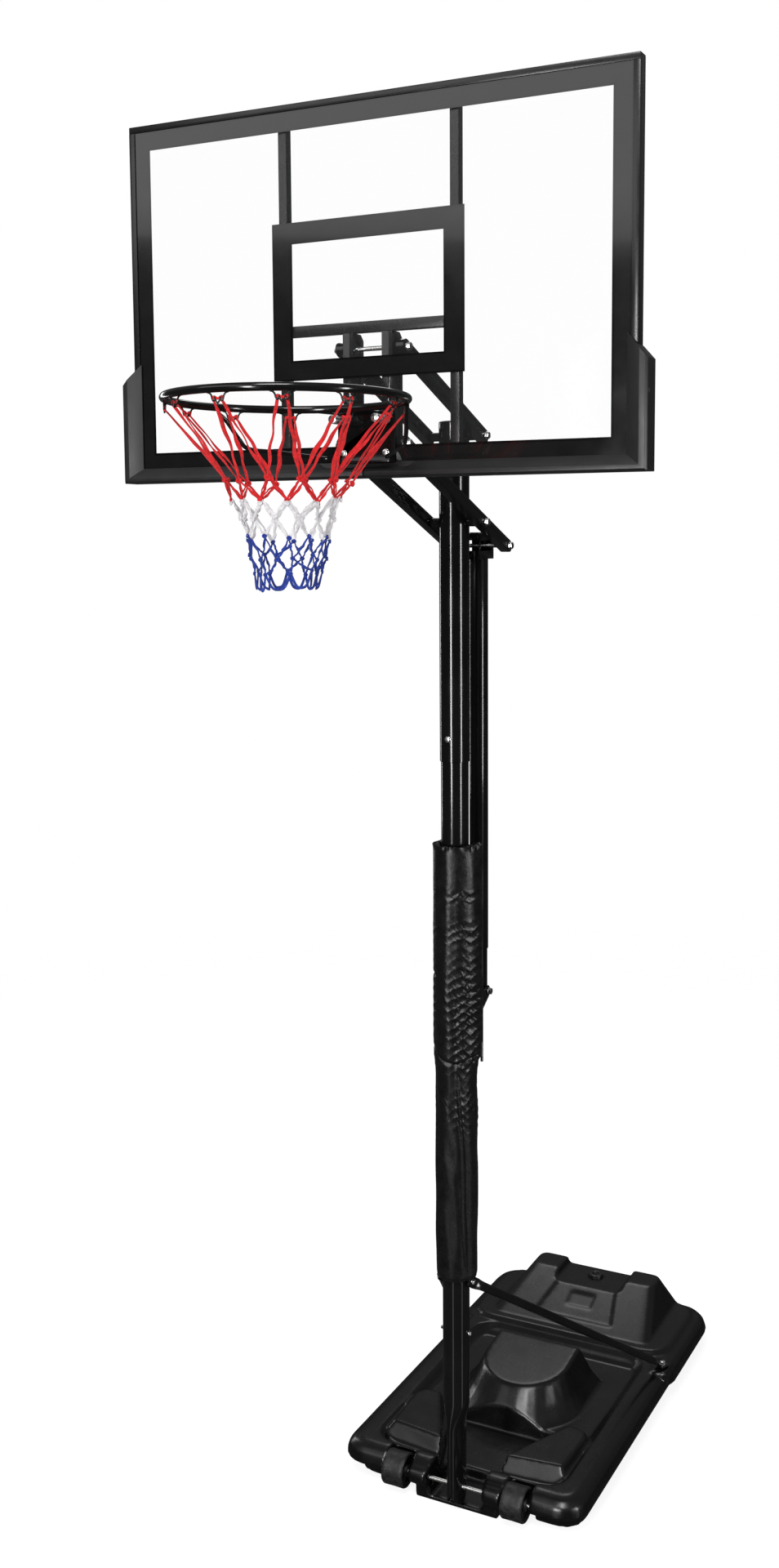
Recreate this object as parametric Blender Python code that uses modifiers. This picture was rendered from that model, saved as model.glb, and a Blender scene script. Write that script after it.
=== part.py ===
"""Portable basketball hoop: ballast base on two transport rollers, three-piece pole,
parallelogram lift arms with a telescopic strut, framed clear backboard and sprung rim.

Metres, +Z up. The origin is on the floor under the pole's axis, the board faces -Y.
Left and right are as seen by a player who faces the board.
"""
import math

import bmesh
import bpy
from mathutils import Matrix, Vector

# ---------------------------------------------------------------- driving dimensions
GAP = 0.0003                 # clearance between faces that touch

RIM_INNER_DIAMETER = 0.450
RIM_WIRE_RADIUS = 0.008
RIM_RADIUS = RIM_INNER_DIAMETER / 2 + RIM_WIRE_RADIUS
RIM_Y = -0.742
RIM_Z = 2.700
HOOK_COUNT = 12

SHEET_FRONT_Y = -0.4236
SHEET_THICKNESS = 0.004
SHEET_BACK_Y = SHEET_FRONT_Y + SHEET_THICKNESS
BOARD_HALF_WIDTH = 0.5974
BOARD_TOP_Z = 3.3476
BOARD_BOTTOM_Z = 2.5747
FRAME_LIP = 0.014
FRAME_WALL = 0.002
FRAME_DEPTH = 0.030

COVER_HALF_WIDTH = 0.6224
COVER_BOTTOM_Z = 2.5622
COVER_TOP_OUTER_Z = 2.7776
COVER_TOP_INNER_Z = 2.828
COVER_INNER_EDGE = 0.046     # how far the cover reaches in over the frame
COVER_FRONT_RISE = 0.017

UPRIGHT_X = 0.203
UPRIGHT_SIDE = 0.020
CROSSBAR_LOW_Z = 2.8657
CROSSBAR_HEIGHT = 0.022
CHANNEL_INNER_X = 0.034
CHANNEL_OUTER_X = 0.0592
CHANNEL_DEPTH = 0.046
CHANNEL_LOW_Z = 2.592

PIVOT_SPACING = 0.200        # between the two arm pivots, on the pole and on the board
ARM_ANGLE = math.radians(21.9)
ARM_LENGTH = 0.4258
ARM_INNER_X = 0.0595
ARM_WIDTH = 0.022
ARM_HEIGHT = 0.029
ARM_WALL = 0.0016
TAIL_LENGTH = 0.148
POLE_PIVOT_LOW_Z = 2.475
BOLT_RADIUS = 0.005
BOLT_HOLE_RADIUS = 0.0054
BOLT_HALF_SPAN = 0.091

POLE_RADIUS = 0.0335
POLE_TOP_RADIUS = 0.036
POLE_WALL = 0.0021
POLE_JOINT_LOW_Z = 1.020
POLE_JOINT_HIGH_Z = 1.905
POLE_TOP_Z = 2.706
POLE_FLATTEN_TOP_Z = 0.290
POLE_FLATTEN_LOW_Z = 0.215
POLE_FOOT_HALF_X = 0.018
POLE_FOOT_HALF_Y = 0.043
POLE_SPLICE = 0.110

AXLE_Y = -0.003
AXLE_Z = 0.0595
AXLE_RADIUS = 0.0055
AXLE_HALF_LENGTH = 0.216
WHEEL_RADIUS = 0.043
WHEEL_INNER_X = 0.1355
WHEEL_OUTER_X = 0.1944

BASE_HALF_WIDTH = 0.340
BASE_REAR_HALF_WIDTH = 0.348
BASE_FRONT_Y = -0.016
BASE_STEP_Y = 0.700
BASE_REAR_Y = 1.101
BASE_FRONT_CORNER = 0.072
BASE_REAR_CORNER = 0.088
BASE_LIP_Z = 0.046
BASE_DECK_Z = 0.096
BASE_FLOOR_Z = 0.072
BLOCK_TOP_Z = 0.184
NOTCH_HALF_WIDTH = 0.103
LEDGE_Z = 0.163
FILLER_Y = 1.003
FILLER_RADIUS = 0.0215
CHANNEL_HALF_X = 0.073

STRUT_TOP_Z = 0.605
STRUT_FOOT = (0.318, 0.690, 0.106)
STRUT_RADIUS = 0.011

PAD_LOW_Z = 0.616
PAD_TOP_Z = 1.706
PAD_INNER_RADIUS = 0.0375
PAD_OUTER_RADIUS = 0.0545
PAD_SLIT_HALF_ANGLE = math.radians(46)

LIFT_Y = 0.1373
LIFT_PIVOT_Z = 1.305
LIFT_INNER_RADIUS = 0.0212
LIFT_OUTER_RADIUS = 0.0235
LIFT_WALL = 0.0017
LIFT_OUTER_LOW_Z = 1.414
LIFT_TOP_Z = 2.452
LIFT_CHEEK_OUTER_X = LIFT_INNER_RADIUS + 0.0045
CRANK_Y = 0.084
CRANK_Z = 1.282
CRANK_RADIUS = 0.0036
CRANK_DROP = 0.142

RIM_BOLT_X = 0.0502
RIM_BOLT_LOW_Z = 2.614
SPRING_BOLT_Z = 2.682
SPRING_BOLT_REACH = 0.064    # head's front face, ahead of the sheet
SPRING_RADIUS = 0.0080
BRACKET_HALF_WIDTH = 0.068
SHELF_WINDOW_FRONT_Y, SHELF_WINDOW_BACK_Y = -0.4965, -0.4520
BRACKET_WALL = 0.004
BRACKET_LOW_Z = 2.5935
BRACKET_BACK_Y = SHEET_FRONT_Y - GAP
NET_LENGTH = 0.365

# ---------------------------------------------------------------- derived places
SIN_ARM, COS_ARM = math.sin(ARM_ANGLE), math.cos(ARM_ANGLE)
POLE_PIVOT_HIGH_Z = POLE_PIVOT_LOW_Z + PIVOT_SPACING
BOARD_PIVOT_Y = -ARM_LENGTH * COS_ARM
BOARD_PIVOT_LOW_Z = POLE_PIVOT_LOW_Z + ARM_LENGTH * SIN_ARM
BOARD_PIVOT_HIGH_Z = BOARD_PIVOT_LOW_Z + PIVOT_SPACING
TAIL_Y = TAIL_LENGTH * COS_ARM
TAIL_Z = POLE_PIVOT_LOW_Z - TAIL_LENGTH * SIN_ARM
UPRIGHT_Y0 = SHEET_BACK_Y + GAP
BRACKET_FRONT_Y = BRACKET_BACK_Y - BRACKET_WALL
BRACKET_PIVOT = (0.0, BRACKET_BACK_Y, BRACKET_LOW_Z)

# ---------------------------------------------------------------- scene and materials
for old in list(bpy.data.objects):
    bpy.data.objects.remove(old, do_unlink=True)

PARTS = bpy.data.collections.new("basketball_hoop")
CUTTERS = bpy.data.collections.new("cutters")
bpy.context.scene.collection.children.link(PARTS)
bpy.context.scene.collection.children.link(CUTTERS)


def material(name, colour, roughness, metallic=0.0, alpha=1.0):
    mat = bpy.data.materials.new(name)
    mat.use_nodes = True
    shader = mat.node_tree.nodes["Principled BSDF"]
    shader.inputs["Base Color"].default_value = (*colour, 1.0)
    shader.inputs["Roughness"].default_value = roughness
    shader.inputs["Metallic"].default_value = metallic
    shader.inputs["Alpha"].default_value = alpha
    return mat


COATED = ("coated_steel", (0.012, 0.012, 0.013), 0.28, 0.0)
ZINC = ("zinc", (0.72, 0.72, 0.70), 0.30, 1.0)
MOULDED = ("moulded_plastic", (0.020, 0.020, 0.021), 0.55, 0.0)
COVER = ("cover_plastic", (0.035, 0.035, 0.036), 0.50, 0.0)
ROLLER = ("roller_plastic", (0.015, 0.015, 0.015), 0.60, 0.0)
NYLON = ("pad_nylon", (0.018, 0.018, 0.019), 0.45, 0.0)
CORD = ("net_cord", (0.75, 0.05, 0.06), 0.80, 0.0)
CLEAR = ("clear_sheet", (0.92, 0.95, 0.96), 0.05, 0.0)
SPRING_STEEL = ("spring_steel", (0.45, 0.45, 0.46), 0.35, 1.0)


def finish(obj, look):
    """Give a piece its own material and shade its round stretches smooth."""
    name, colour, roughness, metallic = look
    obj.data.materials.clear()
    alpha = 0.3 if name == "clear_sheet" else 1.0
    obj.data.materials.append(
        material(obj.name + "_" + name, colour, roughness, metallic, alpha))
    obj.data.shade_smooth()
    obj.data.set_sharp_from_angle(angle=math.radians(35))
    return obj


def from_bmesh(name, mesh_edit):
    bmesh.ops.recalc_face_normals(mesh_edit, faces=mesh_edit.faces)
    mesh = bpy.data.meshes.new(name)
    mesh_edit.to_mesh(mesh)
    mesh_edit.free()
    obj = bpy.data.objects.new(name, mesh)
    PARTS.objects.link(obj)
    return obj


def to_mesh(obj):
    """Turn a curve, or an object with modifiers, into a plain closed mesh object."""
    bpy.context.view_layer.update()
    evaluated = obj.evaluated_get(bpy.context.evaluated_depsgraph_get())
    mesh = bpy.data.meshes.new_from_object(evaluated)
    mesh_edit = bmesh.new()
    mesh_edit.from_mesh(mesh)
    bmesh.ops.remove_doubles(mesh_edit, verts=mesh_edit.verts, dist=0.000005)
    bmesh.ops.recalc_face_normals(mesh_edit, faces=mesh_edit.faces)
    mesh_edit.to_mesh(mesh)
    mesh_edit.free()
    name = obj.name
    solid = bpy.data.objects.new(name + "_mesh", mesh)
    PARTS.objects.link(solid)
    solid.matrix_world = obj.matrix_world
    bpy.data.objects.remove(obj, do_unlink=True)
    solid.name = name
    return solid


# ---------------------------------------------------------------- shape helpers
def box(name, low, high):
    mesh_edit = bmesh.new()
    bmesh.ops.create_cube(mesh_edit, size=1.0)
    for vert in mesh_edit.verts:
        for axis in range(3):
            middle = (low[axis] + high[axis]) / 2
            vert.co[axis] = middle + vert.co[axis] * (high[axis] - low[axis])
    return from_bmesh(name, mesh_edit)


def cylinder(name, radius, start, end, segments=16, end_radius=None):
    """A round bar or cone from one point to another."""
    start, end = Vector(start), Vector(end)
    mesh_edit = bmesh.new()
    bmesh.ops.create_cone(
        mesh_edit, cap_ends=True, segments=segments, radius1=radius,
        radius2=radius if end_radius is None else end_radius, depth=(end - start).length)
    turn = (end - start).to_track_quat("Z", "Y").to_matrix().to_4x4()
    bmesh.ops.transform(
        mesh_edit, matrix=Matrix.Translation((start + end) / 2) @ turn, verts=mesh_edit.verts)
    return from_bmesh(name, mesh_edit)


AXIS_TURN = {
    "X": Matrix(((0, 0, 1, 0), (1, 0, 0, 0), (0, 1, 0, 0), (0, 0, 0, 1))),
    "Y": Matrix(((1, 0, 0, 0), (0, 0, -1, 0), (0, 1, 0, 0), (0, 0, 0, 1))),
    "Z": Matrix.Identity(4),
}


def prism(name, outline, axis, start, end, holes=()):
    """A flat outline extruded along an axis: (y, z) along X, (x, z) along Y, (x, y) along Z."""
    curve = bpy.data.curves.new(name, "CURVE")
    curve.dimensions = "2D"
    curve.fill_mode = "BOTH"
    curve.extrude = abs(end - start) / 2
    for loop in (outline, *holes):
        spline = curve.splines.new("POLY")
        spline.points.add(len(loop) - 1)
        for point, (u, v) in zip(spline.points, loop):
            point.co = (u, v, 0, 1)
        spline.use_cyclic_u = True
    obj = bpy.data.objects.new(name, curve)
    PARTS.objects.link(obj)
    middle = Vector((0, 0, 0))
    middle["XYZ".index(axis)] = (start + end) / 2
    obj.matrix_world = Matrix.Translation(middle) @ AXIS_TURN[axis]
    solid = to_mesh(obj)
    solid.data.transform(solid.matrix_world)
    solid.matrix_world = Matrix.Identity(4)
    mesh_edit = bmesh.new()
    mesh_edit.from_mesh(solid.data)
    bmesh.ops.dissolve_limit(mesh_edit, angle_limit=0.0005, verts=mesh_edit.verts,
                             edges=mesh_edit.edges)
    mesh_edit.to_mesh(solid.data)
    mesh_edit.free()
    return solid


def turned(name, profile, centre, axis="Z", steps=24):
    """A turned shape: profile points (radius, height) run down its outer side, top to bottom."""
    mesh_edit = bmesh.new()
    verts = [mesh_edit.verts.new((radius, 0, height)) for radius, height in profile]
    for first, second in zip(verts, verts[1:]):
        mesh_edit.edges.new((first, second))
    if profile[0][0] > 0:
        mesh_edit.edges.new((verts[-1], verts[0]))
    mesh = bpy.data.meshes.new(name)
    mesh_edit.to_mesh(mesh)
    mesh_edit.free()
    obj = bpy.data.objects.new(name, mesh)
    PARTS.objects.link(obj)
    screw = obj.modifiers.new("turn", "SCREW")
    screw.axis = "Z"
    screw.steps = steps
    screw.render_steps = steps
    screw.use_merge_vertices = True
    screw.merge_threshold = 0.00001
    solid = to_mesh(obj)
    aim = {"X": Vector((1, 0, 0)), "Y": Vector((0, 1, 0)), "Z": Vector((0, 0, 1))}[axis]
    turn = aim.to_track_quat("Z", "Y").to_matrix().to_4x4()
    solid.data.transform(Matrix.Translation(centre) @ turn)
    return solid


def tube_profile(outer, inner, low, high):
    return [(outer, high), (outer, low), (inner, low), (inner, high)]


def rod(name, points, radius, resolution=2, cyclic=False):
    """A bent wire or bar of round section through the points."""
    curve = bpy.data.curves.new(name, "CURVE")
    curve.dimensions = "3D"
    curve.bevel_depth = radius
    curve.bevel_resolution = resolution
    curve.use_fill_caps = not cyclic
    spline = curve.splines.new("POLY")
    spline.points.add(len(points) - 1)
    for point, place in zip(spline.points, points):
        point.co = (*place, 1)
    spline.use_cyclic_u = cyclic
    obj = bpy.data.objects.new(name, curve)
    PARTS.objects.link(obj)
    return to_mesh(obj)


def loft(name, sections):
    """A closed skin over loops of points with the same count in each."""
    mesh_edit = bmesh.new()
    rings = [[mesh_edit.verts.new(point) for point in section] for section in sections]
    for lower, upper in zip(rings, rings[1:]):
        for index in range(len(lower)):
            after = (index + 1) % len(lower)
            mesh_edit.faces.new((lower[index], lower[after], upper[after], upper[index]))
    mesh_edit.faces.new(list(reversed(rings[0])))
    mesh_edit.faces.new(rings[-1])
    return from_bmesh(name, mesh_edit)


def frustum(name, low_outline, low_z, high_outline, high_z):
    return loft(name, [[(x, y, low_z) for x, y in low_outline],
                       [(x, y, high_z) for x, y in high_outline]])


def rounded_outline(x0, y0, x1, y1, radius, steps=3):
    """Corners of a rectangle, each rounded by an arc, anticlockwise."""
    points = []
    corners = ((x1 - radius, y1 - radius, 0), (x0 + radius, y1 - radius, 90),
               (x0 + radius, y0 + radius, 180), (x1 - radius, y0 + radius, 270))
    for cx, cy, start in corners:
        for step in range(steps + 1):
            angle = math.radians(start + 90 * step / steps)
            points.append((cx + radius * math.cos(angle), cy + radius * math.sin(angle)))
    return points


def circle(cx, cy, radius, steps=24):
    return [(cx + radius * math.cos(2 * math.pi * k / steps),
             cy + radius * math.sin(2 * math.pi * k / steps)) for k in range(steps)]


def smooth_path(points, steps=4):
    """Points on a Catmull-Rom curve through the given ones."""
    ends = [2 * Vector(points[0]) - Vector(points[1])] + [Vector(p) for p in points]
    ends.append(2 * Vector(points[-1]) - Vector(points[-2]))
    path = []
    for p0, p1, p2, p3 in zip(ends, ends[1:], ends[2:], ends[3:]):
        for step in range(steps):
            t = step / steps
            path.append(0.5 * (2 * p1 + (p2 - p0) * t + (2 * p0 - 5 * p1 + 4 * p2 - p3) * t ** 2
                               + (3 * p1 - p0 - 3 * p2 + p3) * t ** 3))
    path.append(Vector(points[-1]))
    return path


def combine(target, tools, operation):
    """Cut the tools from the target, or join them to it, and keep the result as its mesh."""
    for tool in tools:
        PARTS.objects.unlink(tool)
        CUTTERS.objects.link(tool)
        tool.hide_render = True
        tool.display_type = "WIRE"
        boolean = target.modifiers.new(tool.name, "BOOLEAN")
        boolean.operation = operation
        boolean.solver = "EXACT"
        boolean.object = tool
    solid = to_mesh(target)
    for tool in tools:
        bpy.data.objects.remove(tool, do_unlink=True)
    return solid


def cut(target, *tools):
    return combine(target, tools, "DIFFERENCE")


def join(target, *tools):
    return combine(target, tools, "UNION")


def pivot_empty(name, place):
    empty = bpy.data.objects.new(name, None)
    empty.empty_display_size = 0.05
    empty.location = place
    PARTS.objects.link(empty)
    return empty


def hang(obj, empty):
    """Parent a piece to an empty on its joint's axis, keeping its place."""
    obj.parent = empty
    obj.matrix_parent_inverse = Matrix.Translation(empty.location).inverted()
    return obj


# ---------------------------------------------------------------- joint axes
WHEEL_AXIS = pivot_empty("wheel_axis", (0, AXLE_Y, AXLE_Z))
CAP_AXIS = pivot_empty("filler_cap_axis", (0, FILLER_Y, LEDGE_Z))
LOW_ARM_AXIS = pivot_empty("lower_arm_axis", (0, 0, POLE_PIVOT_LOW_Z))
HIGH_ARM_AXIS = pivot_empty("upper_arm_axis", (0, 0, POLE_PIVOT_HIGH_Z))
BOARD_AXIS = pivot_empty("board_axis", (0, BOARD_PIVOT_Y, BOARD_PIVOT_LOW_Z))
RIM_AXIS = pivot_empty("rim_axis", BRACKET_PIVOT)
LIFT_AXIS = pivot_empty("lift_axis", (0, LIFT_Y, LIFT_PIVOT_Z))
CRANK_AXIS = pivot_empty("crank_axis", (0, CRANK_Y, CRANK_Z))


# ---------------------------------------------------------------- fasteners
def through_bolt(name, start, end, radius, head, nut, washer_radius=None):
    """A hexagon bolt: head at the start, nut near the end, and the shank past the nut.

    head and nut are (inner face, outer face) distances from the start, along the bolt.
    """
    start, end = Vector(start), Vector(end)
    along = (end - start).normalized()
    across_flats = radius * 1.68
    shank = cylinder(name, radius, start + along * head[1] * 0.5, end, 12)
    pieces = [cylinder(name + "_head", across_flats, start + along * head[0],
                       start + along * head[1], 6)]
    washer_radius = washer_radius or across_flats * 1.12
    pieces.append(cylinder(name + "_washer", washer_radius, start + along * (head[1] - 0.0006),
                           start + along * (head[1] + 0.0012), 14))
    if nut:
        pieces.append(cylinder(name + "_nut", across_flats, start + along * nut[0],
                               start + along * nut[1], 6))
    return finish(join(shank, *pieces), ZINC)


def pivot_bolt(name, y, z, half_span=BOLT_HALF_SPAN, face=ARM_INNER_X + ARM_WIDTH):
    """A bolt across both arms, its head and nut clear of their outer faces."""
    reach = half_span - face
    head = (0.0, reach - 0.0012 - 2 * GAP)
    nut_start = 2 * half_span - reach + 2 * GAP
    return through_bolt(name, (half_span, y, z), (-half_span, y, z), BOLT_RADIUS,
                        head, (nut_start, nut_start + 0.0055))


# ---------------------------------------------------------------- base
def base_outline(inset):
    """Plan of the moulded base: the rear part is a little wider than the front."""
    front = BASE_HALF_WIDTH - inset
    rear = BASE_REAR_HALF_WIDTH - inset
    radius = BASE_FRONT_CORNER - inset
    right = []
    for step in range(6):
        angle = math.radians(-90 + 90 * step / 5)
        right.append((front - radius + radius * math.cos(angle),
                      BASE_FRONT_Y + inset + radius + radius * math.sin(angle)))
    radius = BASE_REAR_CORNER - inset
    right.append((front, BASE_STEP_Y - 0.012))
    right.append((rear, BASE_STEP_Y + 0.012))
    for step in range(6):
        angle = math.radians(90 * step / 5)
        right.append((rear - radius + radius * math.cos(angle),
                      BASE_REAR_Y - inset - radius + radius * math.sin(angle)))
    return right + [(-x, y) for x, y in reversed(right)]


def mirrored(points):
    return points + [(-x, y) for x, y in reversed(points)]


def tower_outline(half_width, front_y, back_y, steps=16):
    """A horseshoe plan: a half circle at the front and straight sides to the back."""
    points = [(half_width, back_y)]
    for step in range(steps + 1):
        angle = math.radians(-180 * step / steps)
        points.append((half_width * math.cos(angle),
                       front_y + half_width * (1 + math.sin(angle))))
    points.append((-half_width, back_y))
    return points


def build_base():
    tray = frustum("base_tray", rounded_outline(-0.314, 0.032, 0.314, 1.066, 0.06), 0.0,
                   rounded_outline(-0.322, 0.024, 0.322, 1.076, 0.07), BASE_LIP_Z + 0.002)
    lip = loft("base_tank", [[(x, y, z) for x, y in base_outline(inset)] for inset, z in (
        (0.006, BASE_LIP_Z), (0.0, BASE_LIP_Z + 0.005), (0.002, BASE_LIP_Z + 0.014),
        (0.007, BASE_LIP_Z + 0.030), (0.022, BASE_DECK_Z - 0.006), (0.040, BASE_DECK_Z))])
    recess = frustum("recess", rounded_outline(-0.243, 0.062, 0.243, 0.700, 0.05), BASE_FLOOR_Z,
                     rounded_outline(-0.276, 0.034, 0.276, 0.735, 0.06), BASE_DECK_Z + 0.010)
    # rear: wide shoulders, then the ballast block with its long front slope
    shoulder = frustum(
        "shoulder", rounded_outline(-0.334, 0.716, 0.334, 1.085, 0.078), BASE_LIP_Z + 0.030,
        rounded_outline(-0.300, 0.742, 0.300, 1.056, 0.062), 0.107)
    block = frustum(
        "block", rounded_outline(-0.266, 0.690, 0.266, 1.080, 0.030), BASE_FLOOR_Z + 0.006,
        rounded_outline(-0.194, 0.968, 0.194, 1.050, 0.022), BLOCK_TOP_Z)
    tower = loft("tower", [
        [(x, y, BASE_FLOOR_Z - 0.004) for x, y in tower_outline(0.178, 0.252, 0.592)],
        [(x, y, 0.084) for x, y in tower_outline(0.166, 0.272, 0.586)],
        [(x, y, 0.108) for x, y in tower_outline(0.149, 0.298, 0.576)],
        [(x, y, 0.148 + 0.145 * (y - 0.338)) for x, y in tower_outline(0.123, 0.336, 0.550)],
        [(x, y, 0.152 + 0.145 * (y - 0.338)) for x, y in tower_outline(0.118, 0.342, 0.545)]])
    pads = []
    for side in (-1, 1):
        top = [(0.092, 0.098), (0.240, 0.116), (0.246, 0.262), (0.232, 0.286), (0.188, 0.292)]
        low = [(0.084, 0.066), (0.262, 0.084), (0.270, 0.280), (0.245, 0.312), (0.188, 0.318)]
        pads.append(frustum("pad_rise_%d" % (side + 1), [(side * x, y) for x, y in low],
                            BASE_FLOOR_Z - 0.004, [(side * x, y) for x, y in top], 0.108))
        pads.append(cylinder("ear_%d" % (side + 1), 0.024, (side * 0.078, AXLE_Y, AXLE_Z),
                             (side * 0.1295, AXLE_Y, AXLE_Z), 20))
        foot = [(0.292, 0.655), (0.338, 0.655), (0.338, 0.726), (0.292, 0.726)]
        pads.append(frustum("strut_seat_%d" % (side + 1), [(side * x, y) for x, y in foot],
                            BASE_LIP_Z + 0.010, [(side * x, y) for x, y in foot],
                            STRUT_FOOT[2] - 0.0050))
    base = cut(lip, recess)
    shelf = box("pole_shelf", (-0.116, -0.006, 0.0), (0.116, 0.060, 0.030))
    base = join(base, tray, shoulder, block, tower, shelf, *pads)

    cutters = [box("pole_slot", (-CHANNEL_HALF_X, -0.060, 0.012), (CHANNEL_HALF_X, 0.105, 0.2))]
    cutters.append(frustum(
        "slot_flare", mirrored([(CHANNEL_HALF_X, 0.050), (0.150, 0.292)]), 0.040,
        mirrored([(CHANNEL_HALF_X + 0.006, 0.050), (0.165, 0.300)]), BASE_FLOOR_Z + 0.060))
    for side in (-1, 1):
        inner, outer = WHEEL_INNER_X - 0.0045, WHEEL_OUTER_X + 0.0050
        low_x, high_x = sorted((side * inner, side * outer))
        cutters.append(box("wheel_pocket_%d" % (side + 1), (low_x, -0.060, -0.010),
                           (high_x, 0.049, 0.109)))
        bolt_x = side * STRUT_FOOT[0]
        cutters.append(cylinder("strut_hole_%d" % (side + 1), 0.0054,
                                (bolt_x, STRUT_FOOT[1], 0.040), (bolt_x, STRUT_FOOT[1], 0.2), 16))
    cutters.append(cylinder("axle_bore", AXLE_RADIUS + 0.0004, (-0.250, AXLE_Y, AXLE_Z),
                            (0.250, AXLE_Y, AXLE_Z), 20))
    cutters.append(frustum(
        "ridge_notch", rounded_outline(-NOTCH_HALF_WIDTH, 0.920, NOTCH_HALF_WIDTH, 1.2, 0.02),
        LEDGE_Z, rounded_outline(-NOTCH_HALF_WIDTH - 0.012, 0.900, NOTCH_HALF_WIDTH + 0.012,
                                 1.22, 0.02), BLOCK_TOP_Z + 0.02))
    cutters.append(cylinder("filler_bore", FILLER_RADIUS + GAP, (0, FILLER_Y, LEDGE_Z - 0.012),
                            (0, FILLER_Y, LEDGE_Z + 0.05), 32))
    # a shallow sunk panel with a smaller square one, both parallel to the block's slope
    slope = math.atan2(BLOCK_TOP_Z - BASE_FLOOR_Z - 0.006, 0.278)
    tilt = Matrix.Translation((0, 0.870, 0.1492)) @ Matrix.Rotation(slope, 4, "X")
    panel = frustum("panel", [(-0.122, -0.075), (0.122, -0.075), (0.090, 0.074), (-0.090, 0.074)],
                    -0.0055, [(-0.128, -0.080), (0.128, -0.080), (0.096, 0.080), (-0.096, 0.080)],
                    0.02)
    square = box("square", (-0.040, -0.025, -0.0075), (0.040, 0.030, 0.02))
    for tool in (panel, square):
        tool.data.transform(tilt)
        cutters.append(tool)
    return finish(cut(base, *cutters), MOULDED)


def build_filler_cap():
    profile = [(0.0, LEDGE_Z + 0.004), (0.0085, LEDGE_Z + 0.004), (0.0105, LEDGE_Z + 0.009),
               (0.0200, LEDGE_Z + 0.009), (FILLER_RADIUS, LEDGE_Z + 0.007),
               (FILLER_RADIUS, LEDGE_Z - 0.0115), (0.0, LEDGE_Z - 0.0115)]
    cap = turned("filler_cap", profile, (0, FILLER_Y, 0), steps=20)
    finish(cap, MOULDED)
    return hang(cap, CAP_AXIS)


def build_wheel(name, side):
    half = (WHEEL_OUTER_X - WHEEL_INNER_X) / 2
    bore = AXLE_RADIUS + 0.0004
    rim = WHEEL_RADIUS
    profile = [(bore, half), (0.014, half), (0.014, half - 0.010), (rim - 0.006, half - 0.010),
               (rim - 0.006, half), (rim, half - 0.004), (rim, -half + 0.004),
               (rim - 0.006, -half), (rim - 0.006, -half + 0.010), (0.014, -half + 0.010),
               (0.014, -half), (bore, -half)]
    centre_x = side * (WHEEL_INNER_X + half)
    wheel = turned(name, profile, (centre_x, AXLE_Y, AXLE_Z), "X", 24)
    finish(wheel, ROLLER)
    return hang(wheel, WHEEL_AXIS)


# ---------------------------------------------------------------- pole
def squash_factor(z):
    """0 above the flattened foot, 1 where it is fully flattened."""
    span = POLE_FLATTEN_TOP_Z - POLE_FLATTEN_LOW_Z
    t = min(1.0, max(0.0, (POLE_FLATTEN_TOP_Z - z) / span))
    return t * t * (3 - 2 * t)


def build_pole_lower():
    outer, inner = POLE_RADIUS, POLE_RADIUS - POLE_WALL
    foot_z = AXLE_Z
    heights = [POLE_JOINT_LOW_Z, POLE_FLATTEN_TOP_Z]
    heights += [POLE_FLATTEN_TOP_Z - 0.025 * k for k in range(1, 4)]
    heights += [foot_z]
    profile = [(outer, z) for z in heights] + [(inner, z) for z in reversed(heights)]
    pole = turned("pole_lower", profile, (0, 0, 0))
    for vert in pole.data.vertices:
        wall = POLE_WALL if vert.co.xy.length < outer - POLE_WALL / 2 else 0.0
        amount = squash_factor(vert.co.z)
        flat_x = (POLE_FOOT_HALF_X - wall) / (outer - wall)
        flat_y = (POLE_FOOT_HALF_Y - wall) / (outer - wall)
        vert.co.x *= 1 + (flat_x - 1) * amount
        vert.co.y *= 1 + (flat_y - 1) * amount
        if vert.co.z < foot_z + 0.001:
            drop = math.sqrt(max(0.0, POLE_FOOT_HALF_Y ** 2 - vert.co.y ** 2))
            vert.co.z = foot_z - drop
    tools = [cylinder("axle_hole", AXLE_RADIUS + 0.0004, (-0.05, AXLE_Y, AXLE_Z),
                      (0.05, AXLE_Y, AXLE_Z), 16)]
    tools.append(cylinder("strut_hole", 0.0044, (-0.05, 0, STRUT_TOP_Z),
                          (0.05, 0, STRUT_TOP_Z), 16))
    tools.append(cylinder("lock_hole", 0.0034, (-0.05, 0, 0.468), (0.05, 0, 0.468), 16))
    return finish(cut(pole, *tools), COATED)


def build_pole_middle():
    """The middle length is swaged at its lower end and plain where the top length covers it."""
    outer = POLE_RADIUS
    swage = POLE_RADIUS - POLE_WALL - 0.0005
    wall = 0.0018
    low, high = POLE_JOINT_LOW_Z + GAP, POLE_JOINT_HIGH_Z + POLE_SPLICE
    profile = [(outer, high), (outer, low), (swage, low), (swage, low - POLE_SPLICE),
               (swage - wall, low - POLE_SPLICE), (swage - wall, high)]
    middle = turned("pole_middle", profile, (0, 0, 0))
    hole = cylinder("joint_hole", 0.0044, (0, -0.05, 1.961), (0, 0.05, 1.961), 16)
    return finish(cut(middle, hole), COATED)


def build_pole_upper():
    top = turned("pole_upper", tube_profile(POLE_TOP_RADIUS, POLE_TOP_RADIUS - POLE_WALL,
                                            POLE_JOINT_HIGH_Z, POLE_TOP_Z), (0, 0, 0))
    tools = [cylinder("joint_hole", 0.0044, (0, -0.05, 1.961), (0, 0.05, 1.961), 16)]
    for label, z in (("low", POLE_PIVOT_LOW_Z), ("high", POLE_PIVOT_HIGH_Z)):
        tools.append(cylinder("pivot_hole_" + label, BOLT_HOLE_RADIUS, (-0.05, 0, z),
                              (0.05, 0, z), 16))
    return finish(cut(top, *tools), COATED)


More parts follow.
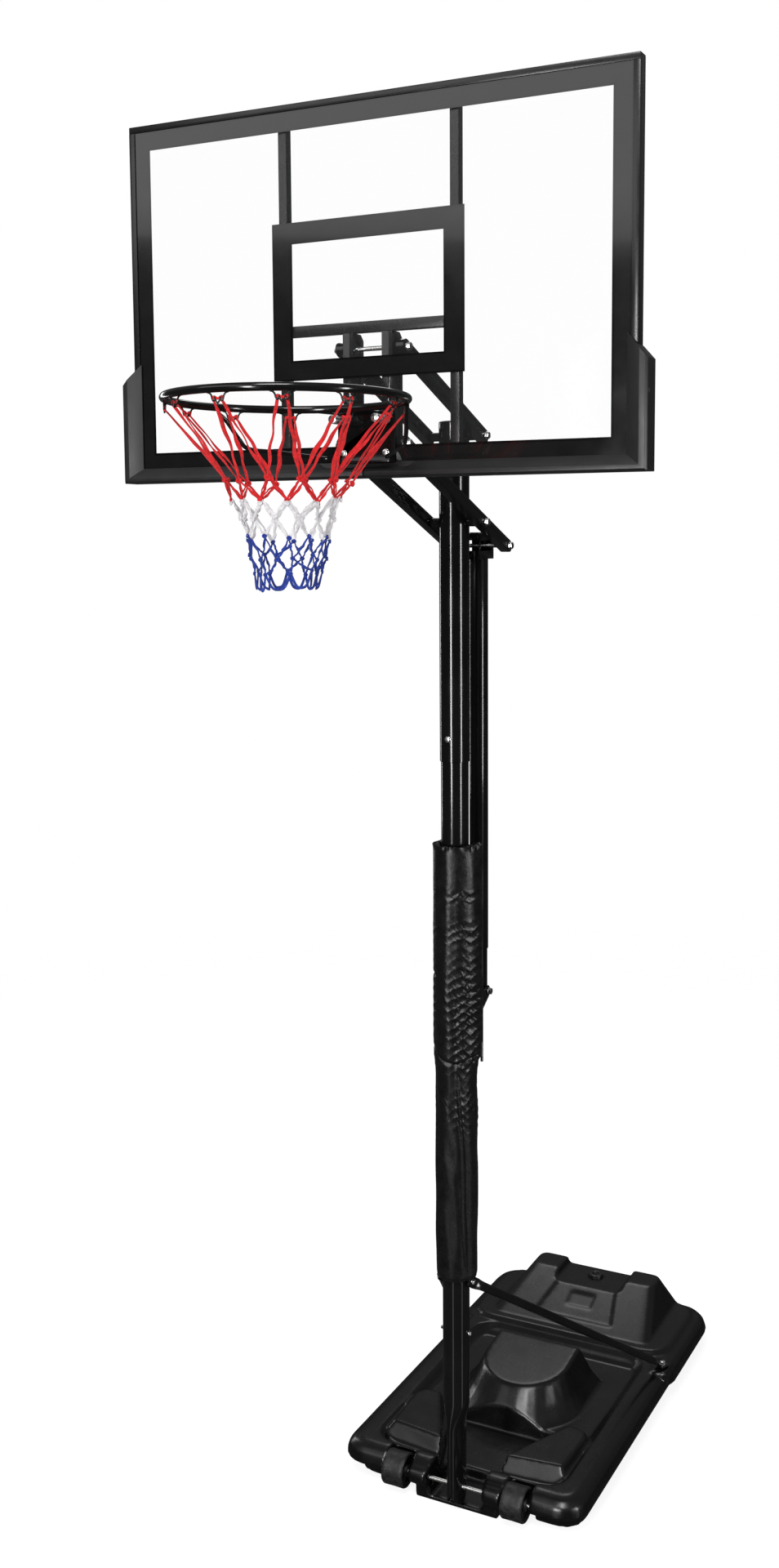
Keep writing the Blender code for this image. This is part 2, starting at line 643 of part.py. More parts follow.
def build_pole_cap():
    bore = POLE_TOP_RADIUS - POLE_WALL - 0.0005
    profile = [(0.0, POLE_TOP_Z + 0.004), (0.034, POLE_TOP_Z + 0.004),
               (POLE_TOP_RADIUS, POLE_TOP_Z + 0.002), (POLE_TOP_RADIUS, POLE_TOP_Z + GAP),
               (bore, POLE_TOP_Z + GAP), (bore, POLE_TOP_Z - 0.010), (0.0, POLE_TOP_Z - 0.010)]
    return finish(turned("pole_cap", profile, (0, 0, 0)), MOULDED)


def pole_bolts():
    through_bolt("pole_joint_bolt", (0, -0.0440, 1.961), (0, 0.0460, 1.961), 0.0040,
                 (0.0, 0.0065), (0.0810, 0.0870))
    through_bolt("pole_lock_bolt", (0.0415, 0, 0.468), (-0.0420, 0, 0.468), 0.0030,
                 (0.0, 0.0060), (0.0756, 0.0810))


def build_strut(name, side):
    """A tube with flattened, drilled ends, from the pole's side to the base's edge."""
    top = Vector((side * (POLE_RADIUS + 0.0075), 0, STRUT_TOP_Z))
    foot = Vector((side * STRUT_FOOT[0], STRUT_FOOT[1], STRUT_FOOT[2]))
    along = (foot - top).normalized()
    upper_across = Vector((0, along.z, -along.y)).normalized()
    upper_thin = Vector((side, 0, 0))
    lower_thin = Vector((0, 0, 1))
    lower_across = Vector((along.y, -along.x, 0)).normalized()
    length = (foot - top).length
    stations = [(-0.016, 0.0), (0.014, 0.0), (0.050, 1.0), (length - 0.055, 1.0),
                (length - 0.016, 2.0), (length + 0.018, 2.0)]
    sections = []
    count = 16
    for distance, shape in stations:
        centre = top + along * distance
        if shape == 0.0:
            centre = top + Vector((0, along.y, along.z)).normalized() * distance
        if distance > length - 0.020:
            centre = foot + (along - along.z * Vector((0, 0, 1))).normalized() * (distance - length)
        ring = []
        for k in range(count):
            angle = 2 * math.pi * k / count
            c, s = math.cos(angle), math.sin(angle)
            if shape == 1.0:
                across, thin = upper_across, along.cross(upper_across).normalized() * -side
                ring.append(centre + STRUT_RADIUS * (c * across + s * thin))
            elif shape == 0.0:
                ring.append(centre + 0.0145 * c * upper_across
                            + 0.0024 * max(-1, min(1, 1.6 * s)) * upper_thin)
            else:
                ring.append(centre + 0.0145 * c * lower_across * side
                            + 0.0024 * max(-1, min(1, 1.6 * s)) * lower_thin)
        sections.append(ring)
    strut = loft(name, sections)
    tools = [cylinder(name + "_top_hole", 0.0044, top - upper_thin * 0.02,
                      top + upper_thin * 0.02, 16)]
    tools.append(cylinder(name + "_foot_hole", 0.0054, foot - lower_thin * 0.02,
                          foot + lower_thin * 0.02, 16))
    return finish(cut(strut, *tools), COATED)


def strut_bolts():
    half = POLE_RADIUS + 0.0185
    through_bolt("strut_top_bolt", (half, 0, STRUT_TOP_Z), (-half, 0, STRUT_TOP_Z), 0.0040,
                 (0.0, 0.0065), (2 * half - 0.0080, 2 * half - 0.0020))
    for name, side in (("strut_foot_bolt_left", -1), ("strut_foot_bolt_right", 1)):
        x, y, z = side * STRUT_FOOT[0], STRUT_FOOT[1], STRUT_FOOT[2]
        through_bolt(name, (x, y, z + 0.0108), (x, y, 0.052), 0.0048, (0.0, 0.0068), None)


def build_pad():
    """A thick sleeve round the pole, open along its back."""
    outline = []
    steps = 20
    for radius, order in ((PAD_OUTER_RADIUS, range(steps + 1)),
                          (PAD_INNER_RADIUS, range(steps, -1, -1))):
        for k in order:
            span = 2 * math.pi - 2 * PAD_SLIT_HALF_ANGLE
            angle = math.pi / 2 + PAD_SLIT_HALF_ANGLE + span * k / steps
            outline.append((radius * math.cos(angle), radius * math.sin(angle)))
    pad = prism("pole_pad", outline, "Z", PAD_LOW_Z, PAD_TOP_Z)
    notches = []
    for side in (-1, 1):
        low_x, high_x = sorted((side * 0.0345, side * 0.0600))
        notches.append(box("strut_notch_%d" % (side + 1), (low_x, -0.022, PAD_LOW_Z - 0.01),
                           (high_x, 0.060, PAD_LOW_Z + 0.016)))
    return finish(cut(pad, *notches), NYLON)


# ---------------------------------------------------------------- lift strut
def build_lift_foot():
    """A folded bracket welded to the pole: two tapered cheeks and a web against the pole."""
    low_z, high_z = LIFT_PIVOT_Z - 0.075, LIFT_PIVOT_Z + 0.013
    start_y = POLE_RADIUS + GAP
    side = [(start_y, low_z), (0.052, low_z), (LIFT_Y + 0.011, LIFT_PIVOT_Z - 0.011),
            (LIFT_Y + 0.011, LIFT_PIVOT_Z + 0.006), (LIFT_Y + 0.005, high_z), (start_y, high_z)]
    half = LIFT_CHEEK_OUTER_X
    bracket = prism("lift_foot_bracket", side, "X", -half, half)
    inside = box("cheek_gap", (-LIFT_INNER_RADIUS - 0.0008, start_y + 0.004, low_z - 0.01),
                 (LIFT_INNER_RADIUS + 0.0008, 0.3, high_z + 0.01))
    saddle = cylinder("saddle", POLE_RADIUS + GAP, (0, 0, low_z - 0.01), (0, 0, high_z + 0.01), 32)
    hole = cylinder("hole", BOLT_HOLE_RADIUS, (-0.05, LIFT_Y, LIFT_PIVOT_Z),
                    (0.05, LIFT_Y, LIFT_PIVOT_Z), 16)
    crank_hole = cylinder("crank_hole", CRANK_RADIUS + 0.0005, (-0.05, CRANK_Y, CRANK_Z),
                          (0.05, CRANK_Y, CRANK_Z), 12)
    return finish(cut(bracket, inside, saddle, hole, crank_hole), COATED)


def build_lift_inner():
    tube = turned("lift_inner_tube", tube_profile(
        LIFT_INNER_RADIUS, LIFT_INNER_RADIUS - LIFT_WALL, LIFT_PIVOT_Z - 0.016, 2.10),
        (0, LIFT_Y, 0), steps=20)
    hole = cylinder("hole", BOLT_HOLE_RADIUS, (-0.05, LIFT_Y, LIFT_PIVOT_Z),
                    (0.05, LIFT_Y, LIFT_PIVOT_Z), 16)
    return finish(cut(tube, hole), COATED)


def build_lift_outer():
    """The outer tube, slotted near its top where the tail bolt of the arms crosses it."""
    inner = LIFT_OUTER_RADIUS - LIFT_WALL
    top = LIFT_TOP_Z
    profile = [(0.0, top), (LIFT_OUTER_RADIUS - 0.002, top), (LIFT_OUTER_RADIUS, top - 0.002),
               (LIFT_OUTER_RADIUS, LIFT_OUTER_LOW_Z), (inner, LIFT_OUTER_LOW_Z),
               (inner, top - 0.004), (0.0, top - 0.004)]
    tube = turned("lift_outer_tube", profile, (0, LIFT_Y, 0), steps=20)
    slot = box("slot", (-0.05, LIFT_Y - 0.050, TAIL_Z - 0.0128), (0.05, LIFT_Y + 0.0185,
                                                                TAIL_Z + 0.0128))
    finish(cut(tube, slot), COATED)
    return hang(bpy.data.objects["lift_outer_tube"], LIFT_AXIS)


def build_lift_yoke():
    """Two slotted cheeks and a back web, welded round the top of the outer tube."""
    half = LIFT_OUTER_RADIUS + 0.0038
    low, high = TAIL_Z - 0.032, TAIL_Z + 0.030
    yoke = box("lift_yoke", (-half, LIFT_Y - 0.053, low), (half, LIFT_Y + 0.030, high))
    gap_half = LIFT_OUTER_RADIUS + GAP
    inside = box("inside", (-gap_half, LIFT_Y - 0.1, low - 0.01), (gap_half, LIFT_Y + 0.0265,
                                                                 high + 0.01))
    slot = box("slot", (-0.05, LIFT_Y - 0.0455, TAIL_Z - 0.0128), (0.05, LIFT_Y + 0.0185,
                                                                 TAIL_Z + 0.0128))
    finish(cut(yoke, inside, slot), COATED)
    return hang(bpy.data.objects["lift_yoke"], LIFT_AXIS)


def build_crank():
    """A bent rod whose upper end passes through both cheeks; the rest hangs outside them."""
    x = LIFT_CHEEK_OUTER_X
    path = [(-x - 0.005, CRANK_Y, CRANK_Z), (x + 0.0035, CRANK_Y, CRANK_Z),
            (x + 0.0065, CRANK_Y, CRANK_Z - 0.003), (x + 0.0065, CRANK_Y, CRANK_Z - CRANK_DROP)]
    finish(rod("crank", path, CRANK_RADIUS), ZINC)
    return hang(bpy.data.objects["crank"], CRANK_AXIS)


# ---------------------------------------------------------------- arms
def arm_outline(front, back, half_height):
    """Side view of a round-ended bar through two points in (y, z)."""
    front, back = Vector(front), Vector(back)
    heading = math.atan2((back - front).y, (back - front).x)
    points = []
    for centre, start in ((back, heading - math.pi / 2), (front, heading + math.pi / 2)):
        for step in range(7):
            angle = start + math.pi * step / 6
            points.append((centre.x + half_height * math.cos(angle),
                           centre.y + half_height * math.sin(angle)))
    return points


def mirror_copy(source, name, look, empty):
    """The opposite-hand piece: the same mesh with its X reversed."""
    mesh_edit = bmesh.new()
    mesh_edit.from_mesh(source.data)
    bmesh.ops.scale(mesh_edit, vec=(-1, 1, 1), verts=mesh_edit.verts)
    bmesh.ops.reverse_faces(mesh_edit, faces=mesh_edit.faces)
    return hang(finish(from_bmesh(name, mesh_edit), look), empty)


def build_arm_pair(level, front, back, holes, empty):
    """Rounded box tubes on both sides, drilled through for their pivots."""
    low_x, high_x = -ARM_INNER_X - ARM_WIDTH, -ARM_INNER_X
    half = ARM_HEIGHT / 2
    name = level + "_arm_left"
    arm = prism(name, arm_outline(front, back, half), "X", low_x, high_x)
    hollow = prism(name + "_hollow", arm_outline(front, back, half - ARM_WALL), "X",
                   low_x + ARM_WALL, high_x - ARM_WALL)
    arm = cut(arm, hollow)
    for index, (y, z) in enumerate(holes):
        arm = cut(arm, cylinder(name + "_hole_%d" % index, BOLT_HOLE_RADIUS,
                                (low_x - 0.01, y, z), (high_x + 0.01, y, z)))
    arm = hang(finish(arm, COATED), empty)
    mirror_copy(arm, level + "_arm_right", COATED, empty)


def build_arms():
    overhang = 0.0035
    low_front = (BOARD_PIVOT_Y - overhang, BOARD_PIVOT_LOW_Z + overhang * SIN_ARM)
    low_back = (TAIL_Y + overhang, TAIL_Z - overhang * SIN_ARM)
    build_arm_pair("lower", low_front, low_back,
                   [(BOARD_PIVOT_Y, BOARD_PIVOT_LOW_Z), (0, POLE_PIVOT_LOW_Z), (TAIL_Y, TAIL_Z)],
                   LOW_ARM_AXIS)
    high_front = (BOARD_PIVOT_Y - overhang, BOARD_PIVOT_HIGH_Z + overhang * SIN_ARM)
    high_back = (overhang, POLE_PIVOT_HIGH_Z - overhang * SIN_ARM)
    build_arm_pair("upper", high_front, high_back,
                   [(BOARD_PIVOT_Y, BOARD_PIVOT_HIGH_Z), (0, POLE_PIVOT_HIGH_Z)], HIGH_ARM_AXIS)


def build_spacers():
    for level, z in (("lower", POLE_PIVOT_LOW_Z), ("upper", POLE_PIVOT_HIGH_Z)):
        for label, side in (("left", -1), ("right", 1)):
            start, end = POLE_TOP_RADIUS + GAP, ARM_INNER_X - GAP
            centre = (side * (start + end) / 2, 0, z)
            half = (end - start) / 2
            sleeve = turned("%s_spacer_%s" % (level, label),
                            tube_profile(0.0105, BOLT_HOLE_RADIUS, -half, half), centre, "X", 20)
            finish(sleeve, COATED)


# ---------------------------------------------------------------- backboard
def level_rail(name, outer_z, inward):
    """An angle-section rail along X: a lip over the sheet's front and a web behind it.

    outer_z is its outer face and inward is -1 or +1.
    """
    front = SHEET_FRONT_Y - GAP - FRAME_WALL
    back = SHEET_BACK_Y + FRAME_DEPTH - 0.006
    low, high = sorted((outer_z, outer_z + inward * FRAME_WALL))
    lip_low, lip_high = sorted((outer_z, outer_z + inward * FRAME_LIP))
    web = box(name, (-BOARD_HALF_WIDTH, front, low), (BOARD_HALF_WIDTH, back, high))
    lip = box(name + "_lip", (-BOARD_HALF_WIDTH, front, lip_low),
              (BOARD_HALF_WIDTH, front + FRAME_WALL, lip_high))
    finish(join(web, lip), COATED)
    return hang(bpy.data.objects[name], BOARD_AXIS)


def side_rail(name, side):
    """The same section upright; its web also fills the corners behind the level lips."""
    front = SHEET_FRONT_Y - GAP - FRAME_WALL
    back = SHEET_BACK_Y + FRAME_DEPTH - 0.006
    outer = side * BOARD_HALF_WIDTH
    low_x, high_x = sorted((outer, outer - side * FRAME_WALL))
    lip_low, lip_high = sorted((outer, outer - side * FRAME_LIP))
    low_z, high_z = BOARD_BOTTOM_Z + FRAME_LIP + GAP, BOARD_TOP_Z - FRAME_LIP - GAP
    web = box(name, (low_x, front, low_z), (high_x, back, high_z))
    lip = box(name + "_lip", (lip_low, front, low_z), (lip_high, front + FRAME_WALL, high_z))
    corners = box(name + "_corners",
                  (low_x, front + FRAME_WALL + GAP, BOARD_BOTTOM_Z + FRAME_WALL + GAP),
                  (high_x, back, BOARD_TOP_Z - FRAME_WALL - GAP))
    finish(join(web, lip, corners), COATED)
    return hang(bpy.data.objects[name], BOARD_AXIS)


def build_frame():
    level_rail("frame_top", BOARD_TOP_Z, -1)
    level_rail("frame_bottom", BOARD_BOTTOM_Z, 1)
    side_rail("frame_left", -1)
    side_rail("frame_right", 1)


def build_sheet():
    edge = FRAME_WALL + GAP
    sheet = box("board_sheet", (-BOARD_HALF_WIDTH + edge, SHEET_FRONT_Y, BOARD_BOTTOM_Z + edge),
                (BOARD_HALF_WIDTH - edge, SHEET_BACK_Y, BOARD_TOP_Z - edge))
    holes = []
    for side in (-1, 1):
        for label, z in (("low", RIM_BOLT_LOW_Z), ("high", SPRING_BOLT_Z)):
            holes.append(cylinder("hole_%s_%d" % (label, side + 1), 0.0044,
                                  (side * RIM_BOLT_X, SHEET_FRONT_Y - 0.01, z),
                                  (side * RIM_BOLT_X, SHEET_BACK_Y + 0.01, z), 16))
    finish(cut(sheet, *holes), CLEAR)
    return hang(bpy.data.objects["board_sheet"], BOARD_AXIS)


def square_tube(name, low, high, wall, open_axis):
    """A box tube, open at both ends along the given axis."""
    axis = "XYZ".index(open_axis)
    tube = box(name, low, high)
    inner_low = [value + wall for value in low]
    inner_high = [value - wall for value in high]
    inner_low[axis] = low[axis] - 0.01
    inner_high[axis] = high[axis] + 0.01
    finish(cut(tube, box(name + "_bore", inner_low, inner_high)), COATED)
    return hang(bpy.data.objects[name], BOARD_AXIS)


def build_supports():
    low_z = BOARD_BOTTOM_Z + FRAME_WALL + GAP
    high_z = BOARD_TOP_Z - FRAME_WALL - GAP
    back = UPRIGHT_Y0 + UPRIGHT_SIDE
    half = UPRIGHT_SIDE / 2
    for label, side in (("left", -1), ("right", 1)):
        square_tube("upright_" + label, [side * UPRIGHT_X - half, UPRIGHT_Y0, low_z],
                    [side * UPRIGHT_X + half, back, high_z], 0.0015, "Z")
    reach = UPRIGHT_X - half - GAP
    square_tube("crossbar", [-reach, UPRIGHT_Y0, CROSSBAR_LOW_Z],
                [reach, back, CROSSBAR_LOW_Z + CROSSBAR_HEIGHT], 0.0015, "X")


def build_board_channel(name, side):
    """A channel section on the back of the sheet that carries the rim bolts and the pivots."""
    wall = 0.0020
    low_x, high_x = sorted((side * CHANNEL_INNER_X, side * CHANNEL_OUTER_X))
    top = CROSSBAR_LOW_Z - GAP
    back = UPRIGHT_Y0 + CHANNEL_DEPTH
    outline = [(UPRIGHT_Y0, CHANNEL_LOW_Z), (back - 0.012, CHANNEL_LOW_Z),
               (back, CHANNEL_LOW_Z + 0.012), (back, top - 0.012), (back - 0.012, top),
               (UPRIGHT_Y0, top)]
    channel = prism(name, outline, "X", low_x, high_x)
    tools = [box(name + "_gap", (low_x + wall, UPRIGHT_Y0 + wall, CHANNEL_LOW_Z - 0.01),
                 (high_x - wall, back + 0.01, top + 0.01))]
    for label, z in (("low", BOARD_PIVOT_LOW_Z), ("high", BOARD_PIVOT_HIGH_Z)):
        tools.append(cylinder("%s_pivot_%s" % (name, label), BOLT_HOLE_RADIUS,
                              (low_x - 0.01, BOARD_PIVOT_Y, z), (high_x + 0.01, BOARD_PIVOT_Y, z),
                              16))
    for label, z in (("low", RIM_BOLT_LOW_Z), ("high", SPRING_BOLT_Z)):
        tools.append(cylinder("%s_rim_%s" % (name, label), 0.0044,
                              (side * RIM_BOLT_X, UPRIGHT_Y0 - 0.01, z),
                              (side * RIM_BOLT_X, UPRIGHT_Y0 + 0.01, z), 16))
    finish(cut(channel, *tools), COATED)
    return hang(bpy.data.objects[name], BOARD_AXIS)


def build_cover(name, side):
    """One L-shaped half of the lower trim, mitred at its corner and cut on a slant at its top.

    The section is given as (inward on the side leg, inward on the bottom leg, y).
    """
    front = SHEET_FRONT_Y - FRAME_WALL - 2 * GAP
    back = SHEET_BACK_Y + FRAME_DEPTH - 0.003
    rise = front - COVER_FRONT_RISE
    inner_x = COVER_HALF_WIDTH - BOARD_HALF_WIDTH - GAP
    inner_z = BOARD_BOTTOM_Z - GAP - COVER_BOTTOM_Z
    edge_x, edge_z = COVER_INNER_EDGE, COVER_INNER_EDGE - 0.013
    section = [(edge_x, edge_z, front), (edge_x, edge_z, front - 0.0022),
               (0.0164, 0.0120, rise), (0.0040, 0.0040, rise), (0.0, 0.0, rise + 0.006),
               (0.0, 0.0, back), (inner_x, inner_z, back), (inner_x, inner_z, front)]
    slant = (COVER_TOP_INNER_Z - COVER_TOP_OUTER_Z) / edge_x
    middle = [(side * 0.0015, y, COVER_BOTTOM_Z + low) for across, low, y in section]
    corner = [(side * (COVER_HALF_WIDTH - across), y, COVER_BOTTOM_Z + low)
              for across, low, y in section]
    top = [(side * (COVER_HALF_WIDTH - across), y, COVER_TOP_OUTER_Z + slant * across)
           for across, low, y in section]
    cover = loft(name, [middle, corner, top])
    lip_z = COVER_BOTTOM_Z + edge_z
    notch = [(-0.01, lip_z + 0.01), (BRACKET_HALF_WIDTH + 0.003, lip_z + 0.01),
             (BRACKET_HALF_WIDTH + 0.003, BRACKET_LOW_Z - 0.001), (-0.01, BRACKET_LOW_Z - 0.001)]
    recess = [(-0.01, lip_z + 0.02), (0.119, lip_z + 0.02), (0.115, lip_z - 0.001),
              (0.100, COVER_BOTTOM_Z + 0.022), (-0.01, COVER_BOTTOM_Z + 0.022)]
    pocket = prism("recess", [(side * x, z) for x, z in recess], "Y", front - 0.1, front - 0.0012)
    bracket_notch = prism("notch", [(side * x, z) for x, z in notch], "Y", front - 0.1,
                          front + 0.01)
    finish(cut(cover, pocket, bracket_notch), COVER)
    return hang(bpy.data.objects[name], BOARD_AXIS)


# ---------------------------------------------------------------- rim
def hook_path(angle):
    """One ram's-horn hook: two legs from the ring that meet in a low loop."""
    def at(spread, radial, drop):
        turn = angle + spread / RIM_RADIUS
        radius = RIM_RADIUS + radial
        return Vector((radius * math.sin(turn), RIM_Y - radius * math.cos(turn), RIM_Z - drop))
    return [at(-0.018, 0.000, 0.0055), at(-0.012, -0.001, 0.012), at(-0.009, -0.002, 0.021),
            at(0.0, -0.003, 0.026), at(0.009, -0.002, 0.021), at(0.012, -0.001, 0.012),
            at(0.018, 0.000, 0.0055)]


def build_ring():
    points = [(RIM_RADIUS * math.sin(2 * math.pi * k / 48),
               RIM_Y - RIM_RADIUS * math.cos(2 * math.pi * k / 48), RIM_Z) for k in range(48)]
    ring = rod("rim_ring", points, RIM_WIRE_RADIUS, 2, cyclic=True)
    hooks = []
    for index in range(HOOK_COUNT):
        hooks.append(rod("hook_%d" % index, hook_path(2 * math.pi * index / HOOK_COUNT),
                         0.0018, 0))
    ring = join(ring, *hooks)
    finish(ring, COATED)
    return hang(ring, RIM_AXIS)


def build_bracket():
    """Face plate, top shelf to the ring and bottom flange, folded from one piece of steel."""
    half = BRACKET_HALF_WIDTH
    shelf_top = RIM_Z - 0.0010
    shelf_low = shelf_top - BRACKET_WALL
    plate = box("rim_bracket", (-half, BRACKET_FRONT_Y, BRACKET_LOW_Z),
                (half, BRACKET_BACK_Y, shelf_top))
    ring_back = RIM_Y + RIM_RADIUS
    shelf = prism("shelf", [(half, BRACKET_BACK_Y - 0.001), (half + 0.018, ring_back - 0.002),
                            (-half - 0.018, ring_back - 0.002), (-half, BRACKET_BACK_Y - 0.001)],
                  "Z", shelf_low, shelf_top)
    flange = box("flange", (-half, BRACKET_FRONT_Y - 0.026, BRACKET_LOW_Z),
                 (half, BRACKET_FRONT_Y + 0.001, BRACKET_LOW_Z + BRACKET_WALL))
    gussets = []
    for side in (-1, 1):
        low_x, high_x = sorted((side * (half - 0.0004), side * (half - 0.0034)))
        gussets.append(prism("gusset_%d" % (side + 1), [
            (BRACKET_FRONT_Y + 0.002, BRACKET_LOW_Z + 0.0022),
            (BRACKET_FRONT_Y - 0.024, BRACKET_LOW_Z + 0.0022),
            (BRACKET_FRONT_Y - 0.024, BRACKET_LOW_Z + 0.008),
            (BRACKET_FRONT_Y + 0.002, BRACKET_LOW_Z + 0.030)], "X", low_x, high_x))
    bracket = join(plate, shelf, flange, *gussets)
    # the ring's tube lies in the shelf's front edge, with a hair of clearance
    points = [(RIM_RADIUS * math.sin(2 * math.pi * k / 48),
               RIM_Y - RIM_RADIUS * math.cos(2 * math.pi * k / 48), RIM_Z) for k in range(48)]
    tools = [rod("ring_seat", points, RIM_WIRE_RADIUS + GAP, 2, cyclic=True)]
    for side in (-1, 1):
        x = side * RIM_BOLT_X
        tools.append(box("bolt_slot_%d" % (side + 1), (x - 0.0047, BRACKET_FRONT_Y - 0.01,
                                                       SPRING_BOLT_Z - 0.0062),
                         (x + 0.0047, BRACKET_BACK_Y + 0.01, SPRING_BOLT_Z + 0.0078)))
        tools.append(box("low_slot_%d" % (side + 1), (x - 0.0047, BRACKET_FRONT_Y - 0.01,
                                                      RIM_BOLT_LOW_Z - 0.0055),
                         (x + 0.0047, BRACKET_BACK_Y + 0.01, RIM_BOLT_LOW_Z + 0.0055)))
        # an opening in the shelf lets it tip down past the long bolt's head
        tools.append(box("shelf_window_%d" % (side + 1), (x - 0.0115, SHELF_WINDOW_FRONT_Y,
                                                          shelf_low - 0.004),
                         (x + 0.0115, SHELF_WINDOW_BACK_Y, shelf_top + 0.004)))
    finish(cut(bracket, *tools), COATED)
    return hang(bpy.data.objects["rim_bracket"], RIM_AXIS)


def build_brace(name, side):
    """A bent rod that runs under the ring's side down to the bracket's foot."""
    route = [(0.2150, -0.655, 2.6868), (0.2060, -0.640, 2.672), (0.1930, -0.617, 2.638),
             (0.1800, -0.600, 2.6185), (0.1420, -0.552, 2.6130), (0.0830, -0.484, 2.6035),
             (0.0720, -0.470, 2.6020)]
    points = smooth_path([(side * x, y, z) for x, y, z in route], 2)
    finish(rod(name, points, 0.0045), COATED)
    return hang(bpy.data.objects[name], RIM_AXIS)


def rim_bolts():
    """Two long bolts that carry the springs and two short ones, all fixed to the board."""
    tail_y = UPRIGHT_Y0 + 0.016
    for label, side in (("left", -1), ("right", 1)):
        x = side * RIM_BOLT_X
        start = (x, SHEET_FRONT_Y - SPRING_BOLT_REACH, SPRING_BOLT_Z)
        reach = tail_y - start[1]
        nut = reach - 0.0133
        bolt = through_bolt("spring_bolt_" + label, start, (x, tail_y, SPRING_BOLT_Z), 0.0040,
                            (0.0, 0.0050), (nut, nut + 0.0062), SPRING_RADIUS + 0.0012)
        hang(bolt, BOARD_AXIS)
        start = (x, BRACKET_FRONT_Y - 0.0115, RIM_BOLT_LOW_Z)
        reach = tail_y - start[1]
        nut = reach - 0.0133
        bolt = through_bolt("rim_bolt_" + label, start, (x, tail_y, RIM_BOLT_LOW_Z), 0.0040,
                            (0.0, 0.0050), (nut, nut + 0.0062))
        hang(bolt, BOARD_AXIS)


def build_spring(name, side):
    """A compression spring between the long bolt's head and the rim's face plate."""
    start = SHEET_FRONT_Y - SPRING_BOLT_REACH + 0.0062 + 0.0013 + GAP
    end = BRACKET_FRONT_Y - 0.0013 - GAP
    turns, per_turn = 6, 8
    radius, x = SPRING_RADIUS, side * RIM_BOLT_X
    points = []
    for k in range(turns * per_turn + 1):
        angle = 2 * math.pi * k / per_turn
        y = start + (end - start) * k / (turns * per_turn)
        points.append((x + radius * math.cos(angle), y, SPRING_BOLT_Z + radius * math.sin(angle)))
    finish(rod(name, points, 0.0012, 0), SPRING_STEEL)
    return hang(bpy.data.objects[name], RIM_AXIS)


def build_net():
    """The net's envelope: a thin open sleeve, narrow at its foot."""
    top = RIM_Z - 0.029
    stations = [(0.222, 0.0), (0.196, 0.060), (0.117, 0.165), (0.096, 0.225),
                (0.080, NET_LENGTH - 0.029)]
    wall = 0.003
    outer = [(radius, top - drop) for radius, drop in stations]
    inner = [(radius - wall, top - drop) for radius, drop in reversed(stations)]
    net = turned("net", outer + inner, (0, RIM_Y, 0), steps=24)
    finish(net, CORD)
    return hang(net, RIM_AXIS)


# ---------------------------------------------------------------- assembly
def build():
    build_base()
    build_filler_cap()
    for label, side in (("left", -1), ("right", 1)):
        build_wheel("wheel_" + label, side)
        build_strut("strut_" + label, side)
    finish(cylinder("axle", AXLE_RADIUS, (-AXLE_HALF_LENGTH, AXLE_Y, AXLE_Z),
                    (AXLE_HALF_LENGTH, AXLE_Y, AXLE_Z), 20), ZINC)
    build_pole_lower()
    build_pole_middle()
    build_pole_upper()
    build_pole_cap()
    pole_bolts()
    strut_bolts()
    build_pad()

    build_lift_foot()
    build_lift_inner()
    build_lift_outer()
    build_lift_yoke()
    build_crank()
    pivot_bolt("lift_pivot_bolt", LIFT_Y, LIFT_PIVOT_Z, LIFT_CHEEK_OUTER_X + 0.0090,
               LIFT_CHEEK_OUTER_X + GAP)

    build_arms()
    build_spacers()
    pivot_bolt("lower_pivot_bolt", 0, POLE_PIVOT_LOW_Z)
    pivot_bolt("upper_pivot_bolt", 0, POLE_PIVOT_HIGH_Z)
    hang(pivot_bolt("tail_bolt", TAIL_Y, TAIL_Z), LOW_ARM_AXIS)
    hang(pivot_bolt("lower_board_bolt", BOARD_PIVOT_Y, BOARD_PIVOT_LOW_Z), BOARD_AXIS)
    hang(pivot_bolt("upper_board_bolt", BOARD_PIVOT_Y, BOARD_PIVOT_HIGH_Z), BOARD_AXIS)

    build_sheet()
    build_frame()
    build_supports()
    for label, side in (("left", -1), ("right", 1)):
        build_board_channel("board_channel_" + label, side)
        build_cover("cover_" + label, side)
        build_brace("rim_brace_" + label, side)
        build_spring("rim_spring_" + label, side)
    rim_bolts()
    build_ring()
    build_bracket()
    build_net()


build()
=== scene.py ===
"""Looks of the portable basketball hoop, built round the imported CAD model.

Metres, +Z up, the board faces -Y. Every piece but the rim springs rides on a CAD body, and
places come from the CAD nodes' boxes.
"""
import math
import random

import bmesh
import bpy
from mathutils import Matrix, Vector, noise


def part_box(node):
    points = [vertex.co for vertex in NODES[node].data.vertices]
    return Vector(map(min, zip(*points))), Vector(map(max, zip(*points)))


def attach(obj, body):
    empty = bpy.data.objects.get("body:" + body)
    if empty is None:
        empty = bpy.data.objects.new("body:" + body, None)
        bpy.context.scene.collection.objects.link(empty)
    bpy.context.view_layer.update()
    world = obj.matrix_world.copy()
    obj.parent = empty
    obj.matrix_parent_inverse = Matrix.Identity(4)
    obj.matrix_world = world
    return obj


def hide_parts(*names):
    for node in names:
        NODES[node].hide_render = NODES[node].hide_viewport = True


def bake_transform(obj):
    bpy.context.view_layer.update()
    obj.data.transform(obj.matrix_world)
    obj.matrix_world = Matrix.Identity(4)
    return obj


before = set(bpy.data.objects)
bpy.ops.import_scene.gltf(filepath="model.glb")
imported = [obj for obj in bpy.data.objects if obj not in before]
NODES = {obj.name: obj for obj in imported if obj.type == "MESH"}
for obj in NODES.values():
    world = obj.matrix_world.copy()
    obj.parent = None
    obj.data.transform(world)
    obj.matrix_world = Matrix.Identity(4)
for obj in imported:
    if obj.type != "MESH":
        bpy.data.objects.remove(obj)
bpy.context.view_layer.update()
scene = bpy.context.scene


def low(node):
    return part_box(node)[0]


